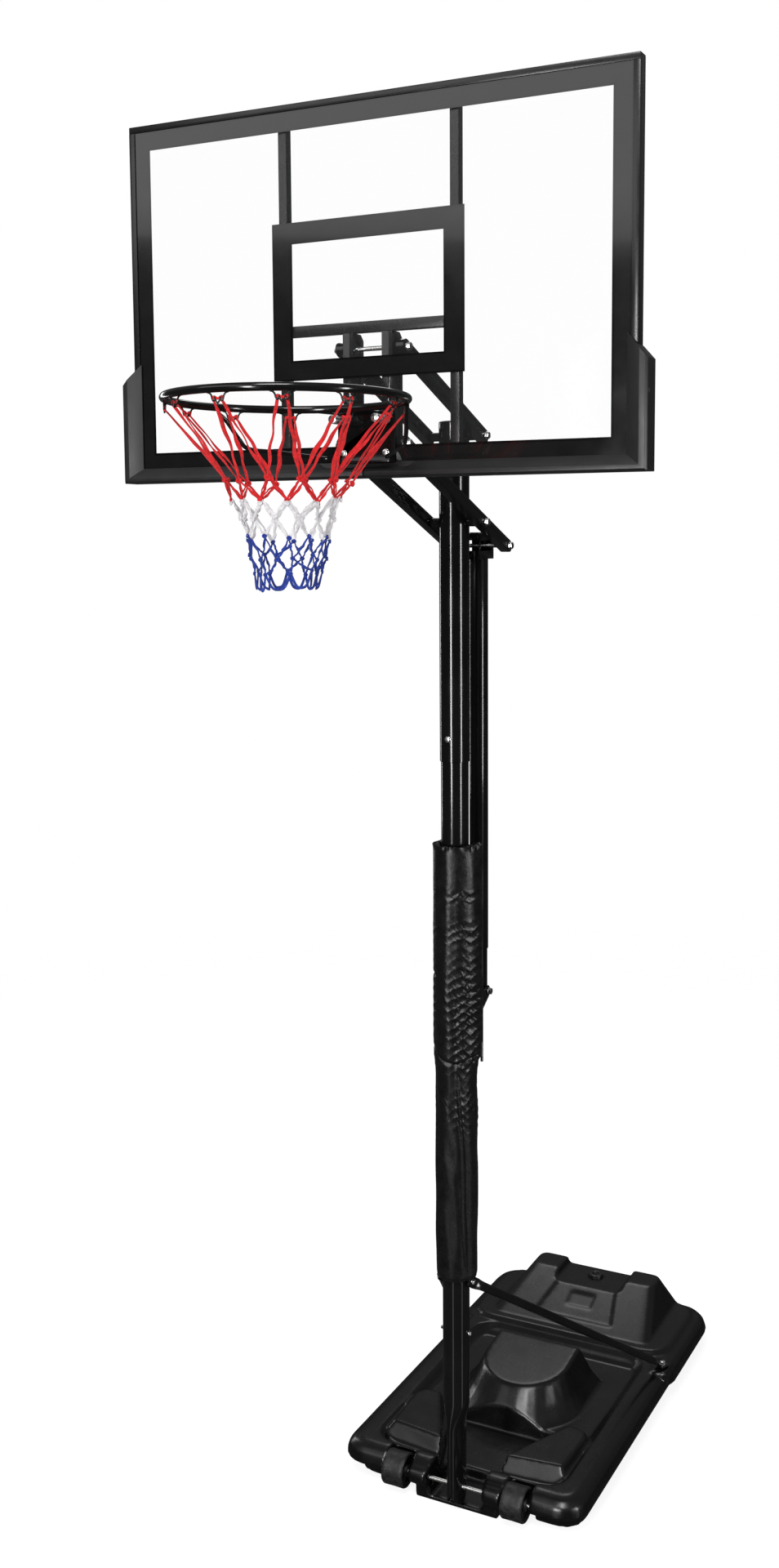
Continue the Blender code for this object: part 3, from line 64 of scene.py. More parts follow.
def high(node):
    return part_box(node)[1]


def centre(node):
    return (Vector(low(node)) + Vector(high(node))) / 2


# ---------------------------------------------------------------- camera, lights, floor
CAMERA_PLACE = Vector((1.5763, -3.2851, 2.4172))
CAMERA_YAW = math.radians(25.988)
CAMERA_PITCH = math.radians(-5.912)
CAMERA_ROLL = math.radians(-0.184)
CAMERA_LENS = 35.113         # mm, on the sensor below
SENSOR_WIDTH = 36.0
CAMERA_SHIFT = (-0.0356, -0.0503)


def build_camera():
    forward = Vector((-math.sin(CAMERA_YAW) * math.cos(CAMERA_PITCH),
                      math.cos(CAMERA_YAW) * math.cos(CAMERA_PITCH), math.sin(CAMERA_PITCH)))
    right = Vector((math.cos(CAMERA_YAW), math.sin(CAMERA_YAW), 0))
    up = right.cross(forward)
    rolled_right = math.cos(CAMERA_ROLL) * right + math.sin(CAMERA_ROLL) * up
    rolled_up = math.cos(CAMERA_ROLL) * up - math.sin(CAMERA_ROLL) * right
    data = bpy.data.cameras.new("camera")
    data.sensor_width = SENSOR_WIDTH
    data.lens = CAMERA_LENS
    data.shift_x, data.shift_y = CAMERA_SHIFT
    data.clip_end = 100
    camera = bpy.data.objects.new("camera", data)
    scene.collection.objects.link(camera)
    turn = Matrix((rolled_right, rolled_up, -forward)).transposed()
    camera.matrix_world = Matrix.Translation(CAMERA_PLACE) @ turn.to_4x4()
    scene.camera = camera


def area_light(name, place, target, size, radiance):
    """A rectangular soft light; its power follows from its size and its brightness."""
    data = bpy.data.lights.new(name, "AREA")
    data.shape = "RECTANGLE"
    data.size, data.size_y = size
    data.energy = radiance * math.pi * size[0] * size[1]
    light = bpy.data.objects.new(name, data)
    scene.collection.objects.link(light)
    place = Vector(place)
    light.location = place
    light.rotation_euler = (Vector(target) - place).to_track_quat("-Z", "Y").to_euler()
    light.visible_camera = False


def build_world():
    """White behind the object; dim and a little lighter overhead in its reflections."""
    world = bpy.data.worlds.new("studio")
    world.use_nodes = True
    scene.world = world
    tree = world.node_tree
    tree.nodes.clear()
    output = tree.nodes.new("ShaderNodeOutputWorld")
    mix = tree.nodes.new("ShaderNodeMixShader")
    seen = tree.nodes.new("ShaderNodeBackground")
    seen.inputs["Color"].default_value = (1, 1, 1, 1)
    lit = tree.nodes.new("ShaderNodeBackground")
    path = tree.nodes.new("ShaderNodeLightPath")
    coordinates = tree.nodes.new("ShaderNodeTexCoord")
    split = tree.nodes.new("ShaderNodeSeparateXYZ")
    ramp = tree.nodes.new("ShaderNodeValToRGB")
    stops = ramp.color_ramp.elements
    stops[0].position, stops[0].color = 0.08, (0.035, 0.035, 0.035, 1)
    stops[1].position, stops[1].color = 0.50, (0.17, 0.17, 0.173, 1)
    tree.links.new(coordinates.outputs["Generated"], split.inputs[0])
    tree.links.new(split.outputs["Z"], ramp.inputs["Fac"])
    tree.links.new(ramp.outputs["Color"], lit.inputs["Color"])
    tree.links.new(path.outputs["Is Camera Ray"], mix.inputs["Fac"])
    tree.links.new(lit.outputs[0], mix.inputs[1])
    tree.links.new(seen.outputs[0], mix.inputs[2])
    tree.links.new(mix.outputs[0], output.inputs["Surface"])
    scene.view_settings.view_transform = "Standard"


FLOOR_PLACE = (0, 0.4, -0.0005)
FLOOR_SOLID_RADIUS = 2.6
FLOOR_CLEAR_RADIUS = 5.8
FLOOR_RADIUS = 6.0
FLOOR_GREY = 0.30
FLOOR_GLOW = 0.86            # lifts the unshaded floor to the white of the surroundings


def build_floor():
    """A white studio floor that fades into the white surroundings."""
    mesh_edit = bmesh.new()
    bmesh.ops.create_circle(mesh_edit, cap_ends=True, segments=96, radius=FLOOR_RADIUS)
    mesh = bpy.data.meshes.new("floor")
    mesh_edit.to_mesh(mesh)
    mesh_edit.free()
    floor = bpy.data.objects.new("floor", mesh)
    floor.location = FLOOR_PLACE
    scene.collection.objects.link(floor)
    paint = bpy.data.materials.new("floor_paint")
    paint.use_nodes = True
    tree = paint.node_tree
    shader = tree.nodes["Principled BSDF"]
    shader.inputs["Base Color"].default_value = (FLOOR_GREY, FLOOR_GREY, FLOOR_GREY, 1)
    shader.inputs["Roughness"].default_value = 0.9
    shader.inputs["Specular IOR Level"].default_value = 0.0
    shader.inputs["Emission Color"].default_value = (1, 1, 1, 1)
    shader.inputs["Emission Strength"].default_value = FLOOR_GLOW
    coordinates = tree.nodes.new("ShaderNodeTexCoord")
    distance = tree.nodes.new("ShaderNodeVectorMath")
    distance.operation = "LENGTH"
    fade = tree.nodes.new("ShaderNodeMapRange")
    fade.interpolation_type = "SMOOTHSTEP"
    fade.inputs["From Min"].default_value = FLOOR_SOLID_RADIUS
    fade.inputs["From Max"].default_value = FLOOR_CLEAR_RADIUS
    fade.inputs["To Min"].default_value = 1.0
    fade.inputs["To Max"].default_value = 0.0
    tree.links.new(coordinates.outputs["Object"], distance.inputs[0])
    tree.links.new(distance.outputs["Value"], fade.inputs["Value"])
    tree.links.new(fade.outputs["Result"], shader.inputs["Alpha"])
    floor.data.materials.append(paint)
    floor.visible_glossy = False
    floor.visible_shadow = False


def build_stage():
    """Two tall strips draw the tubes' long highlights, and softboxes shade the flat faces."""
    area_light("left_strip", (-0.15, -5.0, 2.10), (0, 0, 2.10), (0.60, 2.4), 28)
    area_light("right_strip", (4.9, -1.15, 2.10), (0, 0, 2.10), (0.50, 2.6), 24)
    area_light("left_strip_foot", (-0.15, -5.0, -1.15), (0, 0, -1.15), (0.60, 4.0), 1.3)
    area_light("right_strip_foot", (4.9, -1.15, -1.20), (0, 0, -1.20), (0.50, 4.0), 1.3)
    area_light("high_softbox", (-2.6, -4.9, 5.3), (0, -0.4, 2.9), (4.4, 2.5), 1.4)
    area_light("front_top", (1.2, -4.6, 7.6), (0, -0.7, 2.5), (2.6, 2.2), 15)
    area_light("rear_softbox", (-2.0, 4.6, 6.8), (0, 0.4, 1.0), (3.0, 2.0), 3.0)
    area_light("rear_strip", (-4.6, 1.6, 2.4), (0, 0, 1.8), (0.35, 3.2), 9)
    build_world()
    build_floor()


# ---------------------------------------------------------------- materials
class Look:
    """A Principled material with helpers for the textures that vary it."""

    def __init__(self, name, roughness, metallic=0.0, **sockets):
        self.material = bpy.data.materials.new(name)
        self.material.use_nodes = True
        self.tree = self.material.node_tree
        self.shader = self.tree.nodes["Principled BSDF"]
        self.shader.inputs["Roughness"].default_value = roughness
        self.shader.inputs["Metallic"].default_value = metallic
        for socket, value in sockets.items():
            self.shader.inputs[socket.replace("_", " ")].default_value = value
        self.coordinates = self.tree.nodes.new("ShaderNodeTexCoord").outputs["Object"]
        self.height = None

    def node(self, kind, **settings):
        made = self.tree.nodes.new(kind)
        for key, value in settings.items():
            setattr(made, key, value)
        return made

    def link(self, source, target):
        self.tree.links.new(source, target)

    def noise(self, scale, detail=4.0, roughness=0.55):
        texture = self.node("ShaderNodeTexNoise")
        texture.inputs["Scale"].default_value = scale
        texture.inputs["Detail"].default_value = detail
        texture.inputs["Roughness"].default_value = roughness
        self.link(self.coordinates, texture.inputs["Vector"])
        return texture.outputs["Fac"]

    def voronoi(self, scale):
        texture = self.node("ShaderNodeTexVoronoi")
        texture.inputs["Scale"].default_value = scale
        self.link(self.coordinates, texture.inputs["Vector"])
        return texture.outputs["Distance"]

    def wave(self, scale, direction="DIAGONAL", distortion=0.0):
        texture = self.node("ShaderNodeTexWave", bands_direction=direction)
        texture.inputs["Scale"].default_value = scale
        texture.inputs["Distortion"].default_value = distortion
        self.link(self.coordinates, texture.inputs["Vector"])
        return texture.outputs["Fac"]

    def ramp(self, factor, first, second, start=0.3, end=0.7):
        """Spread a texture between two colours, or between two plain values."""
        ramp = self.node("ShaderNodeValToRGB")
        ends = ramp.color_ramp.elements
        for stop, position, value in ((ends[0], start, first), (ends[1], end, second)):
            stop.position = position
            stop.color = (*value, 1) if isinstance(value, tuple) else (value, value, value, 1)
        self.link(factor, ramp.inputs["Fac"])
        return ramp.outputs["Color"]

    def colour(self, source):
        self.link(source, self.shader.inputs["Base Color"])

    def roughness(self, source):
        self.link(source, self.shader.inputs["Roughness"])

    def bump(self, height, strength, distance):
        """Add one more layer of relief over those already there."""
        bump = self.node("ShaderNodeBump")
        bump.inputs["Strength"].default_value = strength
        bump.inputs["Distance"].default_value = distance
        self.link(height, bump.inputs["Height"])
        if self.height is not None:
            self.link(self.height, bump.inputs["Normal"])
        self.height = bump.outputs["Normal"]
        self.link(self.height, self.shader.inputs["Normal"])


def powder_coat(name, dark, light, roughness_low, roughness_high):
    """Gloss powder coating: orange peel, faint dust and slightly uneven gloss."""
    look = Look(name, 0.2)
    look.colour(look.ramp(look.noise(6.0), dark, light))
    look.roughness(look.ramp(look.noise(14.0, 6.0), roughness_low, roughness_high))
    look.bump(look.noise(420.0, 2.0), 0.015, 0.0003)
    look.bump(look.noise(30.0, 2.0), 0.006, 0.0010)
    return look.material


def moulded(name, dark, light, roughness_low, roughness_high, grain):
    """Blow-moulded polyethylene: fine leather grain, soft mottling and a few scuffs."""
    look = Look(name, 0.45)
    look.colour(look.ramp(look.noise(9.0, 8.0, 0.65), dark, light, 0.35, 0.75))
    look.roughness(look.ramp(look.noise(24.0, 6.0, 0.6), roughness_low, roughness_high))
    look.bump(look.voronoi(grain), 0.07, 0.0004)
    look.bump(look.noise(60.0, 5.0), 0.035, 0.0016)
    return look.material


def worn_roller(name):
    """A hard black roller, scuffed grey and pitted round its rolling face."""
    look = Look(name, 0.5)
    look.colour(look.ramp(look.noise(70.0, 8.0, 0.7), 0.0050, 0.030, 0.45, 0.80))
    look.roughness(look.ramp(look.noise(60.0, 6.0), 0.34, 0.62))
    look.bump(look.noise(140.0, 6.0, 0.7), 0.55, 0.0016)
    look.bump(look.voronoi(420.0), 0.20, 0.0005)
    return look.material


def zinc_plate(name):
    """Bright zinc with the faint cloudiness and fine tool marks of plated bolts."""
    look = Look(name, 0.3, 1.0)
    look.colour(look.ramp(look.noise(160.0, 4.0), (0.56, 0.56, 0.55), (0.80, 0.80, 0.79)))
    look.roughness(look.ramp(look.noise(300.0, 4.0), 0.18, 0.36))
    look.bump(look.noise(900.0, 3.0), 0.12, 0.0002)
    return look.material


def spring_wire(name):
    """Oiled spring steel with fine drawing marks."""
    look = Look(name, 0.3, 1.0)
    look.colour(look.ramp(look.noise(220.0, 3.0), (0.16, 0.16, 0.165), (0.36, 0.36, 0.37)))
    look.bump(look.noise(1200.0, 2.0), 0.10, 0.0002)
    return look.material


def clear_sheet(name):
    """Polished clear acrylic, with a trace of haze."""
    look = Look(name, 0.03, Alpha=0.015, IOR=1.49)
    look.colour(look.ramp(look.noise(2.0), (0.30, 0.31, 0.32), (0.36, 0.37, 0.38)))
    look.bump(look.noise(3.0, 1.0), 0.02, 0.0006)
    return look.material


def ink_and_painted_shade(name, shade):
    """Black ink on the sheet, seen through its gloss; the darker outline look also paints the
    shadow gap along the frame's lip.
    """
    look = Look(name, 0.12, Coat_Weight=0.5, Coat_Roughness=0.05)
    look.colour(look.ramp(look.noise(30.0, 6.0), shade * 0.85, shade * 1.15))
    look.roughness(look.ramp(look.noise(12.0, 4.0), 0.10, 0.17))
    look.bump(look.noise(5.0, 2.0), 0.03, 0.0008)
    return look.material


def coated_nylon(name):
    """Tightly woven nylon: a fine square weave under a waxy shine, with pulled folds."""
    look = Look(name, 0.32)
    look.colour(look.ramp(look.noise(45.0, 6.0), (0.0028, 0.0028, 0.0030),
                          (0.0062, 0.0062, 0.0066)))
    look.roughness(look.ramp(look.noise(70.0, 5.0), 0.20, 0.31))
    look.bump(look.wave(620.0, "Z"), 0.10, 0.0003)
    look.bump(look.wave(620.0, "DIAGONAL"), 0.10, 0.0003)
    look.bump(look.noise(60.0, 4.0, 0.5), 0.16, 0.0012)
    return look.material


def braided_cord(name, dark, light):
    """Knitted polyester cord: fine diagonal plaits, fuzz and uneven dye."""
    look = Look(name, 0.75, Sheen_Weight=0.06, Sheen_Roughness=0.5)
    look.colour(look.ramp(look.noise(150.0, 5.0), dark, light))
    look.bump(look.wave(520.0, "DIAGONAL", 2.0), 0.55, 0.0006)
    look.bump(look.noise(900.0, 3.0), 0.40, 0.0004)
    return look.material


COAT = powder_coat("gloss_coat", 0.0030, 0.0055, 0.10, 0.17)
ARM_COAT = powder_coat("arm_coat", 0.0030, 0.0055, 0.09, 0.15)
FRAME_COAT = powder_coat("frame_coat", 0.0060, 0.0100, 0.22, 0.32)
BASE_PLASTIC = moulded("base_plastic", 0.0022, 0.0036, 0.22, 0.30, 700.0)
ROLLER_PLASTIC = worn_roller("roller_plastic")
COVER_PLASTIC = moulded("cover_plastic", 0.0090, 0.0125, 0.36, 0.46, 1300.0)
CAP_PLASTIC = moulded("cap_plastic", 0.0070, 0.0110, 0.30, 0.42, 900.0)
ZINC = zinc_plate("zinc")
SPRING = spring_wire("spring_wire")
SHEET = clear_sheet("clear_acrylic")
INK = ink_and_painted_shade("border_ink", 0.0060)
# the outline look also paints the thin dark band that stands for the shadow gap under the frame's
# lip: painted shade
INK_LINE_AND_SHADE_GAP = ink_and_painted_shade("outline_ink_and_painted_shadow_gap", 0.0015)
NYLON = coated_nylon("pad_nylon")
RED_CORD = braided_cord("red_cord", (0.40, 0.0012, 0.0035), (0.86, 0.0035, 0.0080))
WHITE_CORD = braided_cord("white_cord", (0.60, 0.58, 0.60), (0.80, 0.79, 0.81))
BLUE_CORD = braided_cord("blue_cord", (0.0025, 0.0140, 0.15), (0.0090, 0.0480, 0.40))


# ---------------------------------------------------------------- shape helpers
def from_bmesh(name, mesh_edit, smooth_angle=40):
    """A new object from an edited mesh, smooth except at edges sharper than the angle."""
    bmesh.ops.recalc_face_normals(mesh_edit, faces=mesh_edit.faces)
    mesh = bpy.data.meshes.new(name)
    mesh_edit.to_mesh(mesh)
    mesh_edit.free()
    obj = bpy.data.objects.new(name, mesh)
    scene.collection.objects.link(obj)
    mesh.shade_smooth()
    mesh.set_sharp_from_angle(angle=math.radians(smooth_angle))
    return obj


def place(obj, body, look, slot, *nodes):
    """Give a piece its material, its body and the CAD nodes it stands for; the slot is not used.
    """
    obj.data.materials.clear()
    obj.data.materials.append(look)
    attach(obj, body)
    if nodes:
        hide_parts(*nodes)
    return obj


def welded_copy(node, name):
    """The CAD node's shape as a new mesh, welded and with its flat faces whole."""
    mesh_edit = bmesh.new()
    mesh_edit.from_mesh(NODES[node].data)
    bmesh.ops.remove_doubles(mesh_edit, verts=mesh_edit.verts, dist=0.00001)
    bmesh.ops.dissolve_limit(mesh_edit, angle_limit=math.radians(0.4), verts=mesh_edit.verts,
                             edges=mesh_edit.edges)
    return from_bmesh(name, mesh_edit)


def apply_modifiers(obj, smooth_angle):
    bpy.context.view_layer.update()
    evaluated = obj.evaluated_get(bpy.context.evaluated_depsgraph_get())
    mesh = bpy.data.meshes.new_from_object(evaluated)
    obj.modifiers.clear()
    obj.data = mesh
    mesh.shade_smooth()
    mesh.set_sharp_from_angle(angle=math.radians(smooth_angle))


def softened(node, body, look, slot, width, segments=2, angle=28):
    """A CAD node again, with its sharp edges rounded as coating or moulding leaves them."""
    obj = welded_copy(node, node + "_look")
    bevel = obj.modifiers.new("soft_edges", "BEVEL")
    bevel.width = width
    bevel.segments = segments
    bevel.limit_method = "ANGLE"
    bevel.angle_limit = math.radians(angle)
    bevel.use_clamp_overlap = True
    apply_modifiers(obj, 50)
    return place(obj, body, look, slot, node)


def lathe(name, profile, middle, axis="Z", steps=64, smooth_angle=35):
    """A closed turned shape from (radius, height) points."""
    mesh_edit = bmesh.new()
    rings = []
    for step in range(steps):
        angle = 2 * math.pi * step / steps
        ring = []
        for radius, height in profile:
            ring.append(mesh_edit.verts.new((radius * math.cos(angle), radius * math.sin(angle),
                                             height)))
        rings.append(ring)
    count = len(profile)
    for step in range(steps):
        here, there = rings[step], rings[(step + 1) % steps]
        for index in range(count):
            after = (index + 1) % count
            mesh_edit.faces.new((here[index], here[after], there[after], there[index]))
    bmesh.ops.remove_doubles(mesh_edit, verts=mesh_edit.verts, dist=0.000001)
    aim = {"X": Vector((1, 0, 0)), "Y": Vector((0, 1, 0)), "Z": Vector((0, 0, 1))}[axis]
    turn = aim.to_track_quat("Z", "Y").to_matrix().to_4x4()
    bmesh.ops.transform(mesh_edit, matrix=Matrix.Translation(middle) @ turn,
                        verts=mesh_edit.verts)
    return from_bmesh(name, mesh_edit, smooth_angle)


def rounded_ends(outer, inner, bottom, top, lip=0.0008):
    """A tube's profile with its rims slightly rounded."""
    return [(outer - lip, top), (outer, top - lip), (outer, bottom + lip), (outer - lip, bottom),
            (inner + lip, bottom), (inner, bottom + lip), (inner, top - lip), (inner + lip, top)]


def spline(points, steps=6):
    """Points along a Catmull-Rom curve."""
    points = [Vector(p) for p in points]
    ends = [2 * points[0] - points[1]] + points + [2 * points[-1] - points[-2]]
    path = []
    for p0, p1, p2, p3 in zip(ends, ends[1:], ends[2:], ends[3:]):
        for step in range(steps):
            t = step / steps
            path.append(0.5 * (2 * p1 + (p2 - p0) * t + (2 * p0 - 5 * p1 + 4 * p2 - p3) * t ** 2
                               + (3 * p1 - p0 - 3 * p2 + p3) * t ** 3))
    path.append(points[-1])
    return path


def sweep(mesh_edit, path, half_width, half_depth, facing, sides=8, taper=None, closed=False):
    """Sweep an oval section along a path; facing(point, index) gives the wide side's normal."""
    rings = []
    count = len(path)
    for index, point in enumerate(path):
        before = path[index - 1] if index or closed else path[0]
        after = path[(index + 1) % count] if index < count - 1 or closed else path[-1]
        along = (after - before).normalized()
        normal = facing(point, index)
        normal = (normal - normal.dot(along) * along).normalized()
        across = along.cross(normal)
        scale = taper(index / max(1, count - 1)) if taper else 1.0
        ring = []
        for side in range(sides):
            angle = 2 * math.pi * side / sides
            offset = (across * math.cos(angle) * half_width * scale
                      + normal * math.sin(angle) * half_depth)
            ring.append(mesh_edit.verts.new(point + offset))
        rings.append(ring)
    pairs = list(zip(rings, rings[1:]))
    if closed:
        pairs.append((rings[-1], rings[0]))
    for here, there in pairs:
        for side in range(sides):
            after = (side + 1) % sides
            mesh_edit.faces.new((here[side], here[after], there[after], there[side]))
    if not closed:
        mesh_edit.faces.new(list(reversed(rings[0])))
        mesh_edit.faces.new(rings[-1])


def wire(name, path, radius, sides, closed=False, facing=(0, 0, 1)):
    """A round bar along a path."""
    mesh_edit = bmesh.new()
    sweep(mesh_edit, path, radius, radius, lambda point, index: Vector(facing), sides,
          closed=closed)
    return from_bmesh(name, mesh_edit, 60)


def slab(mesh_edit, corner, far):
    """A thin box between two opposite corners, added to a mesh."""
    made = bmesh.ops.create_cube(mesh_edit, size=1.0)
    for vert in made["verts"]:
        for axis in range(3):
            middle = (corner[axis] + far[axis]) / 2
            vert.co[axis] = middle + vert.co[axis] * abs(far[axis] - corner[axis])


# ---------------------------------------------------------------- base
def build_base():
    """The tank as a blow-moulded shell: every edge and corner drawn into a soft radius."""
    tank = welded_copy("base_tank", "base_look")
    remesh = tank.modifiers.new("shell", "REMESH")
    remesh.mode = "VOXEL"
    remesh.voxel_size = 0.0045
    smooth = tank.modifiers.new("soft", "SMOOTH")
    smooth.factor = 0.5
    smooth.iterations = 9
    apply_modifiers(tank, 180)
    place(tank, "stand", BASE_PLASTIC, "moulded_base", "base_tank")


def build_filler_cap():
    """A screw cap with a sunk middle and a bar across it to turn it by."""
    middle = centre("filler_cap")
    top = high("filler_cap")[2]
    radius = (high("filler_cap")[0] - low("filler_cap")[0]) / 2
    bottom = low("filler_cap")[2]
    profile = [(0.0, top - 0.006), (0.0075, top - 0.006), (0.0095, top - 0.0045),
               (0.0105, top - 0.001), (0.0120, top), (radius - 0.0035, top),
               (radius - 0.001, top - 0.0010), (radius, top - 0.0030), (radius, bottom),
               (0.0, bottom)]
    cap = lathe("filler_cap_look", profile, (middle.x, middle.y, 0), steps=48)
    place(cap, "filler_cap", CAP_PLASTIC, "moulded_base", "filler_cap")
    notch = bmesh.new()
    slab(notch, (middle.x - 0.0075, middle.y - 0.0016, top - 0.0065),
         (middle.x + 0.0075, middle.y + 0.0016, top - 0.0030))
    place(from_bmesh("filler_cap_grip", notch), "filler_cap", CAP_PLASTIC, "moulded_base")


def build_wheels():
    """Wide rollers with a slightly hollow rolling face and dished sides."""
    for node in ("wheel_left", "wheel_right"):
        middle = centre(node)
        half = (high(node)[0] - low(node)[0]) / 2
        rim = (high(node)[2] - low(node)[2]) / 2
        profile = [(0.0059, half), (0.0125, half), (0.0140, half - 0.0015), (0.0150, half - 0.010),
                   (rim - 0.0075, half - 0.010), (rim - 0.0065, half - 0.0015),
                   (rim - 0.0045, half), (rim - 0.0015, half - 0.0010), (rim, half - 0.0040)]
        for share in (0.6, 0.3, 0.0, -0.3, -0.6):
            profile.append((rim - 0.0006 * (1 - abs(share)), share * half))
        profile += [(rim, -half + 0.0040), (rim - 0.0015, -half + 0.0010), (rim - 0.0045, -half),
                    (rim - 0.0065, -half + 0.0015), (rim - 0.0075, -half + 0.010),
                    (0.0150, -half + 0.010), (0.0140, -half + 0.0015), (0.0125, -half),
                    (0.0059, -half)]
        wheel = lathe(node + "_look", profile, middle, "X", 72, 50)
        place(wheel, node, ROLLER_PLASTIC, "roller", node)


# ---------------------------------------------------------------- pole
POLE_FLATTEN_TOP = 0.290
POLE_FLATTEN_LOW = 0.215
FOOT_HALF_X = 0.018
OUTER_SECTION_WALL = 0.0021
MIDDLE_SECTION_WALL = 0.0019


def build_pole():
    """Three sections of tube, the lowest pressed flat round the axle, and a cap on top."""
    joint_low = high("pole_lower")[2]
    joint_high = low("pole_upper")[2]
    radius = (high("pole_middle")[0] - low("pole_middle")[0]) / 2
    top_radius = (high("pole_upper")[0] - low("pole_upper")[0]) / 2
    foot_half_y = (high("pole_lower")[1] - low("pole_lower")[1]) / 2
    foot_z = low("pole_lower")[2] + foot_half_y

    upper = lathe("pole_upper_look", rounded_ends(top_radius, top_radius - OUTER_SECTION_WALL,
                                                  joint_high, high("pole_upper")[2]), (0, 0, 0))
    place(upper, "stand", COAT, "coated_steel", "pole_upper")
    middle = lathe("pole_middle_look", rounded_ends(radius, radius - MIDDLE_SECTION_WALL,
                                                    joint_low + 0.0004, joint_high + 0.06),
                   (0, 0, 0))
    place(middle, "stand", COAT, "coated_steel", "pole_middle")

    run = POLE_FLATTEN_TOP - POLE_FLATTEN_LOW
    heights = [joint_low, 0.60, POLE_FLATTEN_TOP]
    steps = 14
    for step in range(1, steps + 1):
        heights.append(POLE_FLATTEN_TOP - run * step / steps)
    heights += [0.15, foot_z + 0.012, foot_z]
    profile = [(radius, z) for z in heights]
    profile += [(radius - OUTER_SECTION_WALL, z) for z in reversed(heights)]
    lower = lathe("pole_lower_look", profile, (0, 0, 0), steps=72, smooth_angle=60)
    for vert in lower.data.vertices:
        wall = OUTER_SECTION_WALL if vert.co.xy.length < radius - 0.001 else 0.0
        t = min(1.0, max(0.0, (POLE_FLATTEN_TOP - vert.co.z) / run))
        amount = t * t * (3 - 2 * t)
        vert.co.x *= 1 + ((FOOT_HALF_X - wall) / (radius - wall) - 1) * amount
        vert.co.y *= 1 + ((foot_half_y - wall) / (radius - wall) - 1) * amount
        if vert.co.z < foot_z + 0.001:
            vert.co.z = foot_z - math.sqrt(max(0.0, foot_half_y ** 2 - vert.co.y ** 2))
    place(lower, "stand", COAT, "coated_steel", "pole_lower")

    cap_top = high("pole_cap")[2]
    profile = [(0.0, cap_top), (0.030, cap_top - 0.0002), (0.0345, cap_top - 0.0012),
               (top_radius, cap_top - 0.0032), (top_radius, cap_top - 0.0037),
               (top_radius - 0.0028, cap_top - 0.0037), (top_radius - 0.0028, cap_top - 0.014),
               (0.0, cap_top - 0.014)]
    place(lathe("pole_cap_look", profile, (0, 0, 0)), "stand", CAP_PLASTIC, "moulded_base",
          "pole_cap")


STRUT_RADIUS = 0.011
STRUT_TAB_HALF_WIDTH = 0.0145
STRUT_TAB_HALF_THICKNESS = 0.0024
STRUT_SIDES = 28


def build_struts():
    """Round tubes whose ends are pressed flat into tabs for their bolts."""
    pole_side = (high("pole_middle")[0] - low("pole_middle")[0]) / 2 + 0.0075
    top_z = centre("strut_top_bolt").z
    for node, side in (("strut_left", -1), ("strut_right", 1)):
        bolt = centre("strut_foot_bolt_left" if side < 0 else "strut_foot_bolt_right")
        top = Vector((side * pole_side, 0, top_z))
        foot = Vector((bolt.x, bolt.y, low(node)[2] + STRUT_TAB_HALF_THICKNESS))
        along = (foot - top).normalized()
        length = (foot - top).length
        upper_across = Vector((0, along.z, -along.y)).normalized()
        upper_thin = Vector((side, 0, 0))
        lower_thin = Vector((0, 0, 1))
        lower_across = Vector((along.y, -along.x, 0)).normalized() * side
        thin = along.cross(upper_across).normalized() * -side
        flat_run = (along - along.z * lower_thin).normalized()
        # (distance along the strut, 1 at the foot's end, 1 where the tube is round)
        stations = [(-0.016, 0, 0.0), (-0.012, 0, 0.0), (0.014, 0, 0.0), (0.024, 0, 0.25),
                    (0.036, 0, 0.75), (0.050, 0, 1.0), (length - 0.055, 1, 1.0),
                    (length - 0.044, 1, 0.8), (length - 0.030, 1, 0.28), (length - 0.018, 1, 0.0),
                    (length + 0.012, 1, 0.0), (length + 0.018, 1, 0.0)]
        mesh_edit = bmesh.new()
        rings = []
        for distance, end, roundness in stations:
            if end:
                middle = top + along * distance
                if distance > length - 0.020:
                    middle = foot + flat_run * (distance - length)
                flat_across, flat_thin = lower_across, lower_thin
            else:
                middle = top + along * distance
                if roundness == 0.0:
                    middle = top + Vector((0, along.y, along.z)).normalized() * distance
                flat_across, flat_thin = upper_across, upper_thin
            narrow = 0.82 if distance in (-0.016, length + 0.018) else 1.0
            ring = []
            for k in range(STRUT_SIDES):
                angle = 2 * math.pi * k / STRUT_SIDES
                c, s = math.cos(angle), math.sin(angle)
                round_point = STRUT_RADIUS * (c * upper_across + s * thin)
                flat_point = (STRUT_TAB_HALF_WIDTH * narrow * c * flat_across
                              + STRUT_TAB_HALF_THICKNESS * max(-1, min(1, 1.6 * s)) * flat_thin)
                ring.append(mesh_edit.verts.new(middle + round_point * roundness
                                                + flat_point * (1 - roundness)))
            rings.append(ring)
        for here, there in zip(rings, rings[1:]):
            for k in range(STRUT_SIDES):
                after = (k + 1) % STRUT_SIDES
                mesh_edit.faces.new((here[k], here[after], there[after], there[k]))
        mesh_edit.faces.new(list(reversed(rings[0])))
        mesh_edit.faces.new(rings[-1])
        place(from_bmesh(node + "_look", mesh_edit, 50), "stand", COAT, "coated_steel", node)


# ---------------------------------------------------------------- pole pad
def ridge(value):
    """A triangle wave from 0 to 1."""
    return abs((value % 1.0) * 2 - 1)


def bell(value, middle, width):
    """A smooth bump of height 1."""
    return math.exp(-((value - middle) / width) ** 2)


def step_up(value, middle, sharpness):
    """A smooth step from 0 to 1."""
    return 1 / (1 + math.exp((middle - value) * sharpness))


